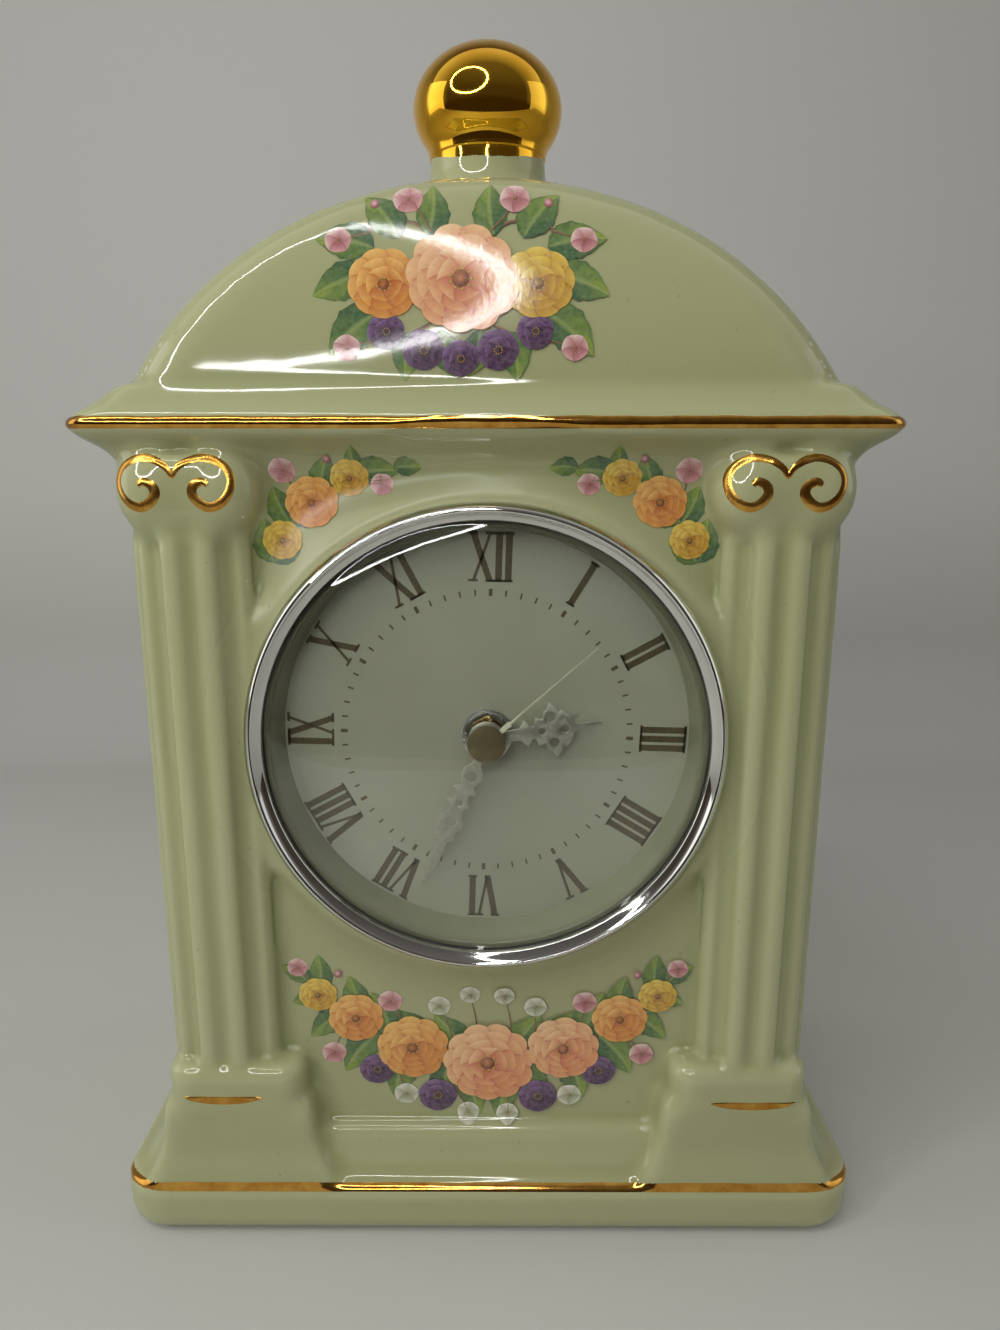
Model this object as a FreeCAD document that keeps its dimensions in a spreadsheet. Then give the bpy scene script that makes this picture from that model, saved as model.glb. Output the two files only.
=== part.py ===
# Porcelain mantel clock with a press-in quartz insert, in millimetres.
# Row frame: X to the right, Y into the room behind the clock, Z up.
# The origin is on the table, under the middle of the base. The clock faces -Y.
# Dial frame, used by everything in the insert: x right, y up, z towards the viewer,
# with its origin where the insert's axis meets the seat on the front of the case.
import FreeCAD, Part
import Sketcher
import math
import os
import re

from FreeCAD import Placement, Rotation, Vector

SIZES = {
    # Base
    "base_width": 150.0,
    "base_depth": 80.0,
    "base_height": 11.0,
    "base_corner": 10.0,
    "base_toe_round": 4.0,
    "base_top_round": 2.0,
    "foot_rim": 7.0,
    "foot_recess": 1.5,
    "vent_radius": 7.0,
    # Apron that sweeps up from the base to the walls
    "apron_top": 21.0,
    "apron_inset": 8.2,
    "apron_front_inset": 5.4,
    "apron_sink": 1.0,
    # Walls of the case
    "wall": 4.5,
    "body_width": 125.0,
    "panel_inset": 8.0,
    "back_inset": 3.5,
    "body_corner": 3.0,
    "cavity_corner": 8.0,
    "cavity_floor": 6.5,
    # Cornice
    "cornice_width": 142.0,
    "cornice_corner": 5.0,
    "cornice_low": 151.5,
    "cornice_edge": 159.6,
    "cornice_top": 166.0,
    "cornice_nose": 1.0,
    "frieze_side_inset": 6.2,
    "frieze_front_inset": 7.4,
    # Arched top
    "arch_width": 126.0,
    "arch_foot": 165.0,
    "arch_rise": 36.7,
    "arch_depth": 71.0,
    "arch_setback": 10.5,
    "arch_round": 9.0,
    "arch_wall": 5.0,
    "arch_sink": 3.0,
    "neck_radius": 11.2,
    "neck_foot_radius": 20.0,
    "neck_blend": 9.0,
    "neck_waist": 208.8,
    "neck_top": 211.2,
    # Finial
    "ball_radius": 14.3,
    "ball_half_height": 11.4,
    "ball_centre": 218.8,
    # Columns
    "column_x": 51.5,
    "column_setback": 14.7,
    "column_radius": 13.2,
    "column_low": 29.0,
    "column_high": 150.0,
    "flute_radius": 2.3,
    "flute_centre": 14.0,
    "flute_count": 12,
    "plinth_inner": 36.0,
    "plinth_outer": 63.4,
    "plinth_height": 7.0,
    "plinth_front_inset": 0.8,
    "plinth_corner": 5.0,
    "plinth_round": 2.6,
    "capital_low": 143.5,
    "capital_high": 154.0,
    "capital_radius": 14.5,
    "scroll_spread": 5.7,
    "scroll_height": 148.4,
    "scroll_half_width": 7.2,
    "scroll_half_height": 8.6,
    "scroll_half_depth": 6.2,
    "scroll_setback": 6.5,
    "pedestal_top": 30.5,
    "pedestal_inner": 35.0,
    "pedestal_outer": 64.2,
    "pedestal_spread": 5.0,
    "pedestal_front_inset": 1.3,
    "pedestal_round": 2.2,
    "pedestal_edge": 2.0,
    "pedestal_depth": 20.0,
    # Holes for the insert and for reaching its back
    "dial_height": 102.5,
    "seat_setback": 5.0,
    "seat_margin": 3.0,
    "seat_flare": 3.5,
    "seat_face_margin": 1.2,
    "insert_grip": 1.2,
    "rear_hole_radius": 38.0,
    # Bezel, lens and inner ring
    "bezel_width": 3.2,
    "bezel_height": 3.8,
    "bezel_crown_inset": 1.3,
    "bezel_edge": 1.5,
    "bezel_lip_inset": 3.3,
    "bezel_lip_height": 2.4,
    "bezel_skirt": 2.0,
    "bezel_sheet": 0.45,
    "bezel_gap": 0.2,
    "lens_thickness": 1.4,
    "lens_dome": 1.6,
    "lens_gap": 0.1,
    "dial_ring_inset": 1.5,
    "dial_ring_slope": 1.4,
    "dial_ring_gap": 0.1,
    "ring_lip": 0.8,
    # Dial and insert cup
    "dial_depth": 7.0,
    "dial_thickness": 0.4,
    "dial_hole_radius": 4.0,
    "cup_radius": 40.8,
    "cup_wall": 0.9,
    "cup_floor": 1.6,
    "cup_rim": 1.5,
    "cup_rim_width": 0.5,
    "gasket_gap": 0.1,
    "gasket_front": 2.2,
    "gasket_back": 8.6,
    "gasket_rib": 0.45,
    "gasket_rib_count": 4,
    # Movement housing
    "movement_width": 56.0,
    "movement_corner": 3.5,
    "movement_depth": 16.0,
    "movement_wall": 1.3,
    "movement_floor": 1.3,
    "movement_split": 9.0,
    "bay_gap": 0.6,
    "bay_wall": 1.2,
    "lid_gap": 0.1,
    "boss_radius": 3.4,
    "boss_gap": 0.1,
    "boss_height": 4.6,
    "post_radius": 1.5,
    "nut_radius": 4.7,
    "nut_thickness": 1.7,
    "nut_slot": 1.2,
    "nut_slot_depth": 0.7,
    "washer_radius": 5.0,
    "washer_thickness": 0.4,
    # Battery and contacts
    "battery_radius": 7.0,
    "battery_length": 49.2,
    "battery_nub_radius": 2.7,
    "battery_nub": 1.0,
    "battery_round": 0.8,
    "battery_lift": 0.3,
    "contact_sheet": 0.4,
    "contact_gap": 0.3,
    "contact_height": 11.0,
    # Gear train
    "train_module": 0.2235,
    "running_gap": 0.06,
    "end_gap": 0.15,
    "wheel_thickness": 0.7,
    "arbor_radius": 0.4,
    "pivot_radius": 0.3,
    "minute_tube_radius": 1.3,
    "hour_tube_radius": 2.3,
    "bridge_depth": 7.2,
    "bridge_thickness": 0.7,
    "bridge_left": 19.5,
    "bridge_right": 26.0,
    "post_inset": 2.0,
    "setting_arbor_radius": 1.0,
    "knob_radius": 6.0,
    "knob_height": 3.2,
    "knob_gap": 0.4,
    "knob_groove": 0.7,
    "knob_groove_count": 18,
    "magnet_radius": 2.5,
    "magnet_height": 2.4,
    # Stator, coil and board
    "stator_gap": 0.7,
    "stator_ring_radius": 4.6,
    "stator_sheet": 0.8,
    "stator_arm": 4.0,
    "stator_reach": 13.0,
    "coil_height": 21.0,
    "coil_radius": 3.9,
    "coil_length": 19.0,
    "coil_wall": 0.5,
    "bobbin_flange": 4.3,
    "bobbin_flange_thickness": 1.0,
    "board_width": 12.0,
    "board_height": 20.0,
    "board_thickness": 0.8,
    "board_x": 19.6,
    "board_y": 2.0,
    "chip_radius": 2.6,
    "chip_height": 0.9,
    "crystal_radius": 1.05,
    "crystal_length": 6.2,
    # Hands
    "hand_sheet": 0.3,
    "hand_collar": 0.7,
    "hand_collar_wall": 0.6,
    "hour_hand_height": 3.4,
    "hour_hand_length": 21.8,
    "minute_hand_height": 5.0,
    "minute_hand_length": 31.0,
    "second_hand_height": 6.3,
    "second_hand_length": 27.0,
    "second_hand_width": 0.4,
    "second_stub_length": 5.8,
    "second_stub_width": 1.0,
    "second_cap_radius": 3.5,
    "second_cap_height": 0.7,
}

# Angles in degrees, clockwise from twelve as the viewer sees them
HOUR_ANGLE = 81.0
MINUTE_ANGLE = 203.5
SECOND_ANGLE = 48.0

os.makedirs("parts", exist_ok=True)
doc = FreeCAD.newDocument("MantelClock")
sheet = doc.addObject("Spreadsheet::Sheet", "Sizes")
for row, (alias, number) in enumerate(SIZES.items(), 1):
    sheet.set(f"A{row}", alias)
    sheet.set(f"B{row}", str(number))
    sheet.setAlias(f"B{row}", alias)
doc.recompute()

# Overrun of every cutting tool past the faces that it cuts
OVERRUN = "wall"


# Sizes and placing

def linked(text):
    """Point each size named in an expression at the sheet."""
    return re.sub(r"[a-z_]\w*", lambda word: "Sizes." + word[0] if word[0] in SIZES else word[0], text)


def size(text):
    """The present value of an expression in named sizes."""
    return float(sheet.evalExpression(text))


def drive(item, name, text):
    """Bind a property to an expression in named sizes."""
    item.setExpression(name, linked(text))


def at(item, x="0", y="0", z="0", turn=Rotation()):
    """Place an item by expressions."""
    item.Placement = Placement(Vector(size(x), size(y), size(z)), turn)
    drive(item, "Placement.Base.x", x)
    drive(item, "Placement.Base.y", y)
    drive(item, "Placement.Base.z", z)
    return item


FACING = Rotation(Vector(1, 0, 0), 90)
AWAY = Rotation(Vector(1, 0, 0), -90)
SEAT_Y = "seat_setback - base_depth / 2"

# Radii of the insert and its seat, all worked out from the cup
CUP_RIM = "(cup_radius + cup_rim_width)"
INSERT_HOLE = "(cup_radius + insert_grip)"
BEZEL = "(cup_radius + bezel_width)"
BEZEL_LIP = f"({BEZEL} - bezel_lip_inset)"
RING_FRONT = "(cup_radius - dial_ring_inset)"
RING_BACK = f"({RING_FRONT} - dial_ring_slope)"

PIECES = []


def piece(item, name):
    """Name a finished sub-part, which is written to its own file."""
    item.Label = name
    PIECES.append(item)
    return item


def on_dial(item, x="0", y="0", z="0", angle=0):
    """Place an item by its position in the dial frame."""
    at(item, x, f"{SEAT_Y} - ({z})", f"dial_height + ({y})", FACING * Rotation(Vector(0, 0, 1), -angle))
    return item


# Solids

def block(name, x0, x1, y0, y1, z0, z1):
    item = doc.addObject("Part::Box", name)
    drive(item, "Length", f"({x1}) - ({x0})")
    drive(item, "Width", f"({y1}) - ({y0})")
    drive(item, "Height", f"({z1}) - ({z0})")
    return at(item, x0, y0, z0)


def dial_block(name, x0, x1, y0, y1, z0, z1):
    """A block given in the dial frame."""
    item = doc.addObject("Part::Box", name)
    drive(item, "Length", f"({x1}) - ({x0})")
    drive(item, "Width", f"({y1}) - ({y0})")
    drive(item, "Height", f"({z1}) - ({z0})")
    return on_dial(item, x0, y0, z0)


def dial_rod(name, radius, z0, z1, x="0", y="0"):
    """A round rod along the insert's axis, given in the dial frame."""
    item = doc.addObject("Part::Cylinder", name)
    drive(item, "Radius", radius)
    drive(item, "Height", f"({z1}) - ({z0})")
    return on_dial(item, x, y, z0)


def fuse(name, items):
    item = doc.addObject("Part::MultiFuse", name)
    item.Shapes = items
    item.Refine = True
    return item


def cut(name, base, tool):
    item = doc.addObject("Part::Cut", name)
    item.Base = base
    item.Tool = tool
    item.Refine = True
    return item


def mirrored(name, source):
    """The same piece on the other side of the clock."""
    item = doc.addObject("Part::Mirroring", name)
    item.Source = source
    item.Normal = Vector(1, 0, 0)
    return item


# Sketched features

def origin_plane(body, role):
    return next(item for item in body.Origin.OriginFeatures if item.Role == role)


def sketch(body, role, name, lift=None):
    """A sketch on one of the body's own planes, lifted off it where asked."""
    item = body.newObject("Sketcher::SketchObject", name)
    item.AttachmentSupport = [(origin_plane(body, role), "")]
    item.MapMode = "FlatFace"
    if lift:
        drive(item, "AttachmentOffset.Base.z", lift)
    return item


def pin_point(item, edge, end, x, y):
    """Tie a point of a sketch to expressions measured from the sketch's origin."""
    for kind, text in (("DistanceX", x), ("DistanceY", y)):
        number = item.addConstraint(Sketcher.Constraint(kind, -1, 1, edge, end, size(text)))
        item.setExpression(f"Constraints[{number}]", linked(text))


def arc_between(start, end, radius, left):
    """The short arc from start to end, with its centre left or right of the way it runs."""
    middle = (start + end) * 0.5
    across = end - start
    normal = Vector(-across.y, across.x, 0).normalize()
    reach = math.sqrt(max(radius ** 2 - (across.Length / 2) ** 2, 0))
    centre = middle + normal * (reach if left else -reach)
    angles = [math.atan2(point.y - centre.y, point.x - centre.x) for point in (start, end)]
    circle = Part.Circle(centre, Vector(0, 0, 1), radius)
    if left:
        return Part.ArcOfCircle(circle, angles[0], angles[1]), 1, 2
    return Part.ArcOfCircle(circle, angles[1], angles[0]), 2, 1


def outline(item, points):
    """Draw a closed outline. Each point is (x, y), or (x, y, radius, side) where an arc leads to it."""
    places = [Vector(size(point[0]), size(point[1]), 0) for point in points]
    ends = []
    for index, point in enumerate(points):
        start = places[index - 1]
        if len(point) == 2:
            edge = item.addGeometry(Part.LineSegment(start, places[index]), False)
            ends.append((edge, 1, 2))
        else:
            arc, first, last = arc_between(start, places[index], size(point[2]), point[3] == "left")
            ends.append((item.addGeometry(arc, False), first, last))
    for index, point in enumerate(points):
        edge, _, last = ends[index]
        following, first, _ = ends[(index + 1) % len(points)]
        item.addConstraint(Sketcher.Constraint("Coincident", edge, last, following, first))
        pin_point(item, edge, last, point[0], point[1])
        if len(point) > 2:
            number = item.addConstraint(Sketcher.Constraint("Radius", edge, size(point[2])))
            item.setExpression(f"Constraints[{number}]", linked(point[2]))
    return item


def ring_line(item, radius, x="0", y="0"):
    """Draw a circle."""
    circle = Part.Circle(Vector(size(x), size(y), 0), Vector(0, 0, 1), size(radius))
    edge = item.addGeometry(circle, False)
    pin_point(item, edge, 3, x, y)
    number = item.addConstraint(Sketcher.Constraint("Radius", edge, size(radius)))
    item.setExpression(f"Constraints[{number}]", linked(radius))
    return item


def rounded_rectangle(item, x0, x1, y0, y1, radius):
    """Draw a rectangle with round corners."""
    corner = f"({radius})"
    return outline(item, [
        (f"({x1}) - {corner}", y0),
        (x1, f"({y0}) + {corner}", radius, "left"),
        (x1, f"({y1}) - {corner}"),
        (f"({x1}) - {corner}", y1, radius, "left"),
        (f"({x0}) + {corner}", y1),
        (x0, f"({y1}) - {corner}", radius, "left"),
        (x0, f"({y0}) + {corner}"),
        (f"({x0}) + {corner}", y0, radius, "left"),
    ])


def pad(body, profile, length, reversed_way=False, midplane=False):
    item = body.newObject("PartDesign::Pad", profile.Name + "_pad")
    item.Profile = profile
    drive(item, "Length", length)
    item.Reversed = reversed_way
    item.Midplane = midplane
    profile.Visibility = False
    return item


def pocket(body, profile, length, midplane=False):
    item = body.newObject("PartDesign::Pocket", profile.Name + "_pocket")
    item.Profile = profile
    drive(item, "Length", length)
    item.Midplane = midplane
    return item


def revolve(body, profile):
    """Turn a profile about the body's own Z axis."""
    item = body.newObject("PartDesign::Revolution", profile.Name + "_turned")
    item.Profile = profile
    item.ReferenceAxis = (profile, ["V_Axis"])
    item.Angle = 360
    return item


def around(body, feature, count):
    """Repeat a feature round the body's Z axis."""
    item = body.newObject("PartDesign::PolarPattern", feature.Name + "_around")
    item.Originals = [feature]
    item.Axis = (next(axis for axis in body.Origin.OriginFeatures if axis.Role == "Z_Axis"), [""])
    item.Angle = 360
    drive(item, "Occurrences", count)
    body.Tip = item
    return item


def soften(body, base, edges, radius):
    """Round the named edges of a feature."""
    item = body.newObject("PartDesign::Fillet", base.Name + "_round")
    item.Base = (base, edges)
    drive(item, "Radius", radius)
    return item


def edges_where(feature, test):
    """Names of the feature's edges that pass a test on their box."""
    doc.recompute()
    return [f"Edge{index}" for index, edge in enumerate(feature.Shape.Edges, 1) if test(edge.BoundBox)]


def turned(name, points):
    """A turned piece in the dial frame, from an outline of (radius, height) points."""
    body = doc.addObject("PartDesign::Body", name)
    revolve(body, outline(sketch(body, "XZ_Plane", name + "_profile"), points))
    return on_dial(body)


def lofted(name, sections):
    """A solid through rounded rectangles, each (x0, x1, y0, y1, radius, height)."""
    body = doc.addObject("PartDesign::Body", name)
    rings = []
    for index, (x0, x1, y0, y1, radius, height) in enumerate(sections):
        ring = sketch(body, "XY_Plane", f"{name}_section_{index}", height)
        rings.append(rounded_rectangle(ring, x0, x1, y0, y1, radius))
    item = body.newObject("PartDesign::AdditiveLoft", name + "_loft")
    item.Profile = rings[0]
    item.Sections = rings[1:]
    item.Ruled = False
    return body


def centred(half_x, half_y, radius, height):
    """A loft section centred on the clock."""
    return (f"-({half_x})", half_x, f"-({half_y})", half_y, radius, height)


# Porcelain case

def base_slab():
    body = doc.addObject("PartDesign::Body", "base_slab")
    plan = rounded_rectangle(sketch(body, "XY_Plane", "base_plan"), "-base_width / 2", "base_width / 2",
                             "-base_depth / 2", "base_depth / 2", "base_corner")
    slab = pad(body, plan, "base_height")
    low = edges_where(slab, lambda box: box.ZMax < size("base_toe_round"))
    toe = soften(body, slab, low, "base_toe_round")
    high = edges_where(toe, lambda box: box.ZMin > size("base_height - base_top_round"))
    soften(body, toe, high, "base_top_round")
    return body


def apron():
    """Hollow sweep from the top of the base up to the walls."""
    half_x = "base_width / 2 - base_top_round"
    half_y = "base_depth / 2 - base_top_round"
    low = "base_height - apron_sink"
    rise = "(apron_top - base_height)"
    shares = ((0.0, 0.0), (0.3, 0.42), (0.62, 0.74), (1.0, 1.0))
    return lofted("apron", [
        centred(f"{half_x} - {inward} * (apron_inset - base_top_round)",
                f"{half_y} - {inward} * (apron_front_inset - base_top_round)",
                "base_corner - base_top_round", f"{low} + {upward} * ({rise} + apron_sink)")
        for upward, inward in shares])


def walls():
    body = doc.addObject("PartDesign::Body", "walls")
    plan = rounded_rectangle(sketch(body, "XY_Plane", "walls_plan", "base_height / 2"),
                             "-body_width / 2", "body_width / 2", "panel_inset - base_depth / 2",
                             "base_depth / 2 - back_inset", "body_corner")
    pad(body, plan, "cornice_edge - base_height / 2")
    return body


def cornice():
    """Cove, nosing and sloping roof of the cornice in one moulding."""
    half_x = "cornice_width / 2"
    half_y = "base_depth / 2"
    cove_shares = ((0.0, 1.0), (0.3, 0.84), (0.62, 0.48), (0.82, 0.14), (1.0, 0.0))
    sections = [
        centred(f"{half_x} - {inward} * frieze_side_inset", f"{half_y} - {inward} * frieze_front_inset",
                "cornice_corner", f"cornice_low + {upward} * (cornice_edge - cornice_nose - cornice_low)")
        for upward, inward in cove_shares]
    cove = lofted("cornice_cove", sections)
    roof_side = f"({half_x} - arch_width / 2)"
    roof_front = f"({half_y} - arch_depth / 2)"
    roof_shares = ((0.0, 0.0), (0.2, 0.06), (0.45, 0.36), (0.72, 0.7), (1.0, 1.0))
    sections = [
        centred(f"{half_x} - {inward} * {roof_side}", f"{half_y} - {inward} * {roof_front}",
                "cornice_corner", f"cornice_edge - cornice_nose + {upward} * (cornice_top - cornice_edge"
                " + cornice_nose)")
        for upward, inward in roof_shares]
    return [cove, lofted("cornice_roof", sections)]


def arch(name, inset, low):
    """The arched top: a barrel whose front and back lean in. Made once more, smaller, for its hollow."""
    body = doc.addObject("PartDesign::Body", name)
    barrel_radius = "((arch_width ^ 2 / 4 + arch_rise ^ 2) / (2 * arch_rise))"
    centre = f"(arch_foot + arch_rise - {barrel_radius})"
    half = f"sqrt(({barrel_radius} - {inset}) ^ 2 - ({low} - {centre}) ^ 2)"
    top = f"(arch_foot + arch_rise - {inset})"
    front = outline(sketch(body, "XZ_Plane", name + "_front"), [
        (half, low),
        ("0", top, f"{barrel_radius} - {inset}", "left"),
        (f"-({half})", low, f"{barrel_radius} - {inset}", "left"),
    ])
    barrel = pad(body, front, f"arch_depth - 2 * {inset}", midplane=True)
    face_radius = "((arch_rise ^ 2 + arch_setback ^ 2) / (2 * arch_setback))"
    foot_y = f"(arch_depth / 2 - {inset})"
    leaned = f"sqrt(({face_radius} - {inset}) ^ 2 - (arch_rise - {inset}) ^ 2)"
    top_y = f"(arch_depth / 2 - {face_radius} + {leaned})"
    outside = f"({foot_y} + {OVERRUN})"
    lean = sketch(body, "YZ_Plane", name + "_lean")
    outline(lean, [
        (foot_y, "arch_foot", f"{face_radius} - {inset}", "right"),
        (outside, "arch_foot"),
        (outside, top),
        (top_y, top),
    ])
    outline(lean, [
        (f"-{foot_y}", "arch_foot"),
        (f"-{top_y}", top, f"{face_radius} - {inset}", "right"),
        (f"-{outside}", top),
        (f"-{outside}", "arch_foot"),
    ])
    return body, pocket(body, lean, "arch_width", midplane=True)


def arched_top():
    body, barrel = arch("arched_top", "0", "(arch_foot - arch_sink)")
    rims = edges_where(barrel, lambda box: box.ZLength > size("arch_sink") / 2
                       and box.XLength > size("arch_sink") / 2
                       and abs(box.YMin + box.YMax) > size("arch_depth / 2"))
    soften(body, barrel, rims, "arch_round")
    return body


def neck():
    body = doc.addObject("PartDesign::Body", "neck")
    crown = "(arch_foot + arch_rise)"
    revolve(body, outline(sketch(body, "XZ_Plane", "neck_profile"), [
        ("0", f"{crown} - arch_wall"),
        ("neck_foot_radius", f"{crown} - arch_wall"),
        ("neck_foot_radius", f"{crown} - arch_wall / 2"),
        ("neck_radius", "neck_waist", "neck_blend", "right"),
        ("neck_radius", "neck_top"),
        ("0", "neck_top"),
    ]))
    return body


def column():
    """Right column: plinth, fluted shaft, flared capital and its two soft scrolls."""
    y = "column_setback - base_depth / 2"
    body = doc.addObject("PartDesign::Body", "column_shaft")
    height = "column_high - column_low"
    pad(body, ring_line(sketch(body, "XY_Plane", "shaft_plan"), "column_radius"), height)
    flute_plan = sketch(body, "XY_Plane", "flute_plan", height)
    flute = pocket(body, ring_line(flute_plan, "flute_radius", "0", "-flute_centre"), height)
    around(body, flute, "flute_count")
    shaft = at(body, "column_x", y, "column_low")
    plinth = doc.addObject("PartDesign::Body", "column_plinth")
    foot = rounded_rectangle(sketch(plinth, "XY_Plane", "plinth_plan", "pedestal_top - plinth_round"),
                             "plinth_inner", "plinth_outer", "plinth_front_inset - base_depth / 2",
                             "plinth_front_inset - base_depth / 2 + pedestal_depth", "plinth_corner")
    slab = pad(plinth, foot, "plinth_height + plinth_round")
    upper = edges_where(slab, lambda box: box.ZMin > size("pedestal_top + plinth_height / 2"))
    soften(plinth, slab, upper, "plinth_round")
    capital = doc.addObject("Part::Cone", "column_capital")
    drive(capital, "Radius1", "column_radius")
    drive(capital, "Radius2", "capital_radius")
    drive(capital, "Height", "capital_high - capital_low")
    at(capital, "column_x", y, "capital_low")
    scrolls = []
    for side, sign in (("inner", "-"), ("outer", "+")):
        scroll = doc.addObject("Part::Ellipsoid", f"{side}_scroll")
        drive(scroll, "Radius1", "scroll_half_height")
        drive(scroll, "Radius2", "scroll_half_width")
        drive(scroll, "Radius3", "scroll_half_depth")
        scrolls.append(at(scroll, f"column_x {sign} scroll_spread", "scroll_setback - base_depth / 2",
                          "scroll_height"))
    return [shaft, plinth, capital] + scrolls


def pedestal():
    """Right pedestal, wider at its foot, with soft edges to its top."""
    low = "(base_height - apron_sink)"
    front = "(pedestal_front_inset - base_depth / 2)"
    shares = ((0.0, 1.0), (0.35, 0.5), (0.68, 0.18), (1.0, 0.0))
    rise = f"(pedestal_top - pedestal_edge - {low})"
    rings = [(f"({spread} * pedestal_spread)", "0", f"{low} + {upward} * {rise}") for upward, spread in shares]
    rings.append(("0", "pedestal_edge", "pedestal_top"))
    return lofted("pedestal", [
        (f"pedestal_inner - {spread} + {inset}", f"pedestal_outer + {spread} - {inset}",
         f"{front} + {inset}", f"{front} + pedestal_depth - {inset}", "pedestal_round", height)
        for spread, inset, height in rings])


def seat():
    """Raised round seat that the bezel's flange rests on."""
    item = doc.addObject("Part::Cone", "bezel_seat")
    drive(item, "Radius1", BEZEL + " + seat_margin")
    drive(item, "Radius2", BEZEL + " + seat_margin + seat_flare")
    drive(item, "Height", "panel_inset - seat_setback + wall / 2")
    return at(item, "0", SEAT_Y, "dial_height", AWAY)


def case_hollows():
    back = "base_depth / 2 - back_inset - wall"
    cavity = doc.addObject("PartDesign::Body", "cavity")
    plan = rounded_rectangle(sketch(cavity, "XY_Plane", "cavity_plan", "cavity_floor"),
                             "wall - body_width / 2", "body_width / 2 - wall",
                             "panel_inset + wall - base_depth / 2", back, "cavity_corner")
    pad(cavity, plan, "arch_foot - cavity_floor")
    hollow_arch, _ = arch("arch_hollow", "arch_wall", "cornice_edge")
    foot = doc.addObject("PartDesign::Body", "foot_hollow")
    plan = rounded_rectangle(sketch(foot, "XY_Plane", "foot_plan"),
                             "foot_rim - base_width / 2", "base_width / 2 - foot_rim",
                             "foot_rim - base_depth / 2", "base_depth / 2 - foot_rim", "base_corner / 2")
    pad(foot, plan, "foot_recess")
    vent = doc.addObject("Part::Cylinder", "vent")
    drive(vent, "Radius", "vent_radius")
    drive(vent, "Height", "cavity_floor + 2 * " + OVERRUN)
    at(vent, "0", "0", "-" + OVERRUN)
    mouth = doc.addObject("Part::Cylinder", "insert_hole")
    drive(mouth, "Radius", INSERT_HOLE)
    drive(mouth, "Height", "base_depth / 2 + " + OVERRUN)
    at(mouth, "0", "-base_depth / 2 - " + OVERRUN, "dial_height", AWAY)
    facing = doc.addObject("Part::Cylinder", "seat_face")
    drive(facing, "Radius", BEZEL + " + seat_face_margin")
    drive(facing, "Height", "seat_setback + " + OVERRUN)
    at(facing, "0", "-base_depth / 2 - " + OVERRUN, "dial_height", AWAY)
    rear = doc.addObject("Part::Cylinder", "rear_hole")
    drive(rear, "Radius", "rear_hole_radius")
    drive(rear, "Height", "base_depth / 2 + " + OVERRUN)
    at(rear, "0", "0", "dial_height", AWAY)
    return fuse("case_hollows", [cavity, hollow_arch, foot, vent, mouth, facing, rear])


def porcelain_case():
    right = column() + [pedestal()]
    left = [mirrored(item.Name + "_left", item) for item in right]
    forms = [base_slab(), apron(), walls()] + cornice() + [arched_top(), neck(), seat()] + right + left
    piece(cut("case", fuse("case_forms", forms), case_hollows()), "porcelain_case")


def finial_ball():
    ball = doc.addObject("Part::Ellipsoid", "ball")
    drive(ball, "Radius1", "ball_half_height")
    drive(ball, "Radius2", "ball_radius")
    drive(ball, "Radius3", "ball_radius")
    at(ball, "0", "0", "ball_centre")
    below = block("under_ball", "-ball_radius", "ball_radius", "-ball_radius", "ball_radius",
                  "ball_centre - 2 * ball_half_height", "neck_top")
    piece(cut("finial", ball, below), "finial_ball")


# Insert: bezel, lens, inner ring, dial, cup and gasket

def bezel():
    skirt = CUP_RIM + " + bezel_sheet"
    piece(turned("bezel", [
        (BEZEL, "0"),
        (BEZEL, "bezel_edge"),
        (BEZEL + " - bezel_crown_inset", "bezel_height", "bezel_height - bezel_edge", "left"),
        (BEZEL_LIP, "bezel_lip_height"),
        (BEZEL_LIP, "lens_thickness"),
        (CUP_RIM, "lens_thickness"),
        (CUP_RIM, "-bezel_skirt"),
        (skirt, "-bezel_skirt"),
        (skirt, "0"),
    ]), "bezel")


def dome_radius(reach, rise):
    """Radius of the shallow dome that rises this much over this reach."""
    return f"((({reach}) ^ 2 + ({rise}) ^ 2) / (2 * ({rise})))"


def lens():
    """Clear domed lens with a flat rim, held between the bezel and the cup."""
    rim = CUP_RIM + " - lens_gap"
    outer = BEZEL_LIP + " - lens_gap"
    inner = RING_FRONT
    piece(turned("lens", [
        (rim, "0"),
        (rim, "lens_thickness"),
        (outer, "lens_thickness"),
        ("0", "lens_thickness + lens_dome", dome_radius(outer, "lens_dome"), "left"),
        ("0", "lens_dome"),
        (inner, "0", dome_radius(inner, "lens_dome"), "right"),
    ]), "lens")


def dial_ring():
    outer = "cup_radius - cup_wall - dial_ring_gap"
    lip = CUP_RIM + " - ring_lip"
    piece(turned("dial_ring", [
        (RING_FRONT, "0"),
        (lip, "0"),
        (lip, "-ring_lip"),
        (outer, "-ring_lip"),
        (outer, "-dial_depth"),
        (RING_BACK, "-dial_depth"),
    ]), "dial_ring")


def dial():
    piece(turned("dial", [
        ("dial_hole_radius", "-dial_depth"),
        ("dial_hole_radius", "-dial_depth - dial_thickness"),
        ("cup_radius - cup_wall - dial_ring_gap", "-dial_depth - dial_thickness"),
        ("cup_radius - cup_wall - dial_ring_gap", "-dial_depth"),
    ]), "dial")


def insert_cup():
    floor = "-dial_depth - dial_thickness"
    inside = "cup_radius - cup_wall"
    lip = CUP_RIM + " - ring_lip + dial_ring_gap"
    piece(turned("insert_cup", [
        (lip, "0"),
        (CUP_RIM, "0"),
        (CUP_RIM, "-cup_rim"),
        ("cup_radius", "-cup_rim"),
        ("cup_radius", f"{floor} - cup_floor"),
        ("boss_radius + boss_gap", f"{floor} - cup_floor"),
        ("boss_radius + boss_gap", floor),
        (inside, floor),
        (inside, "-ring_lip"),
        (lip, "-ring_lip"),
    ]), "insert_cup")


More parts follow.
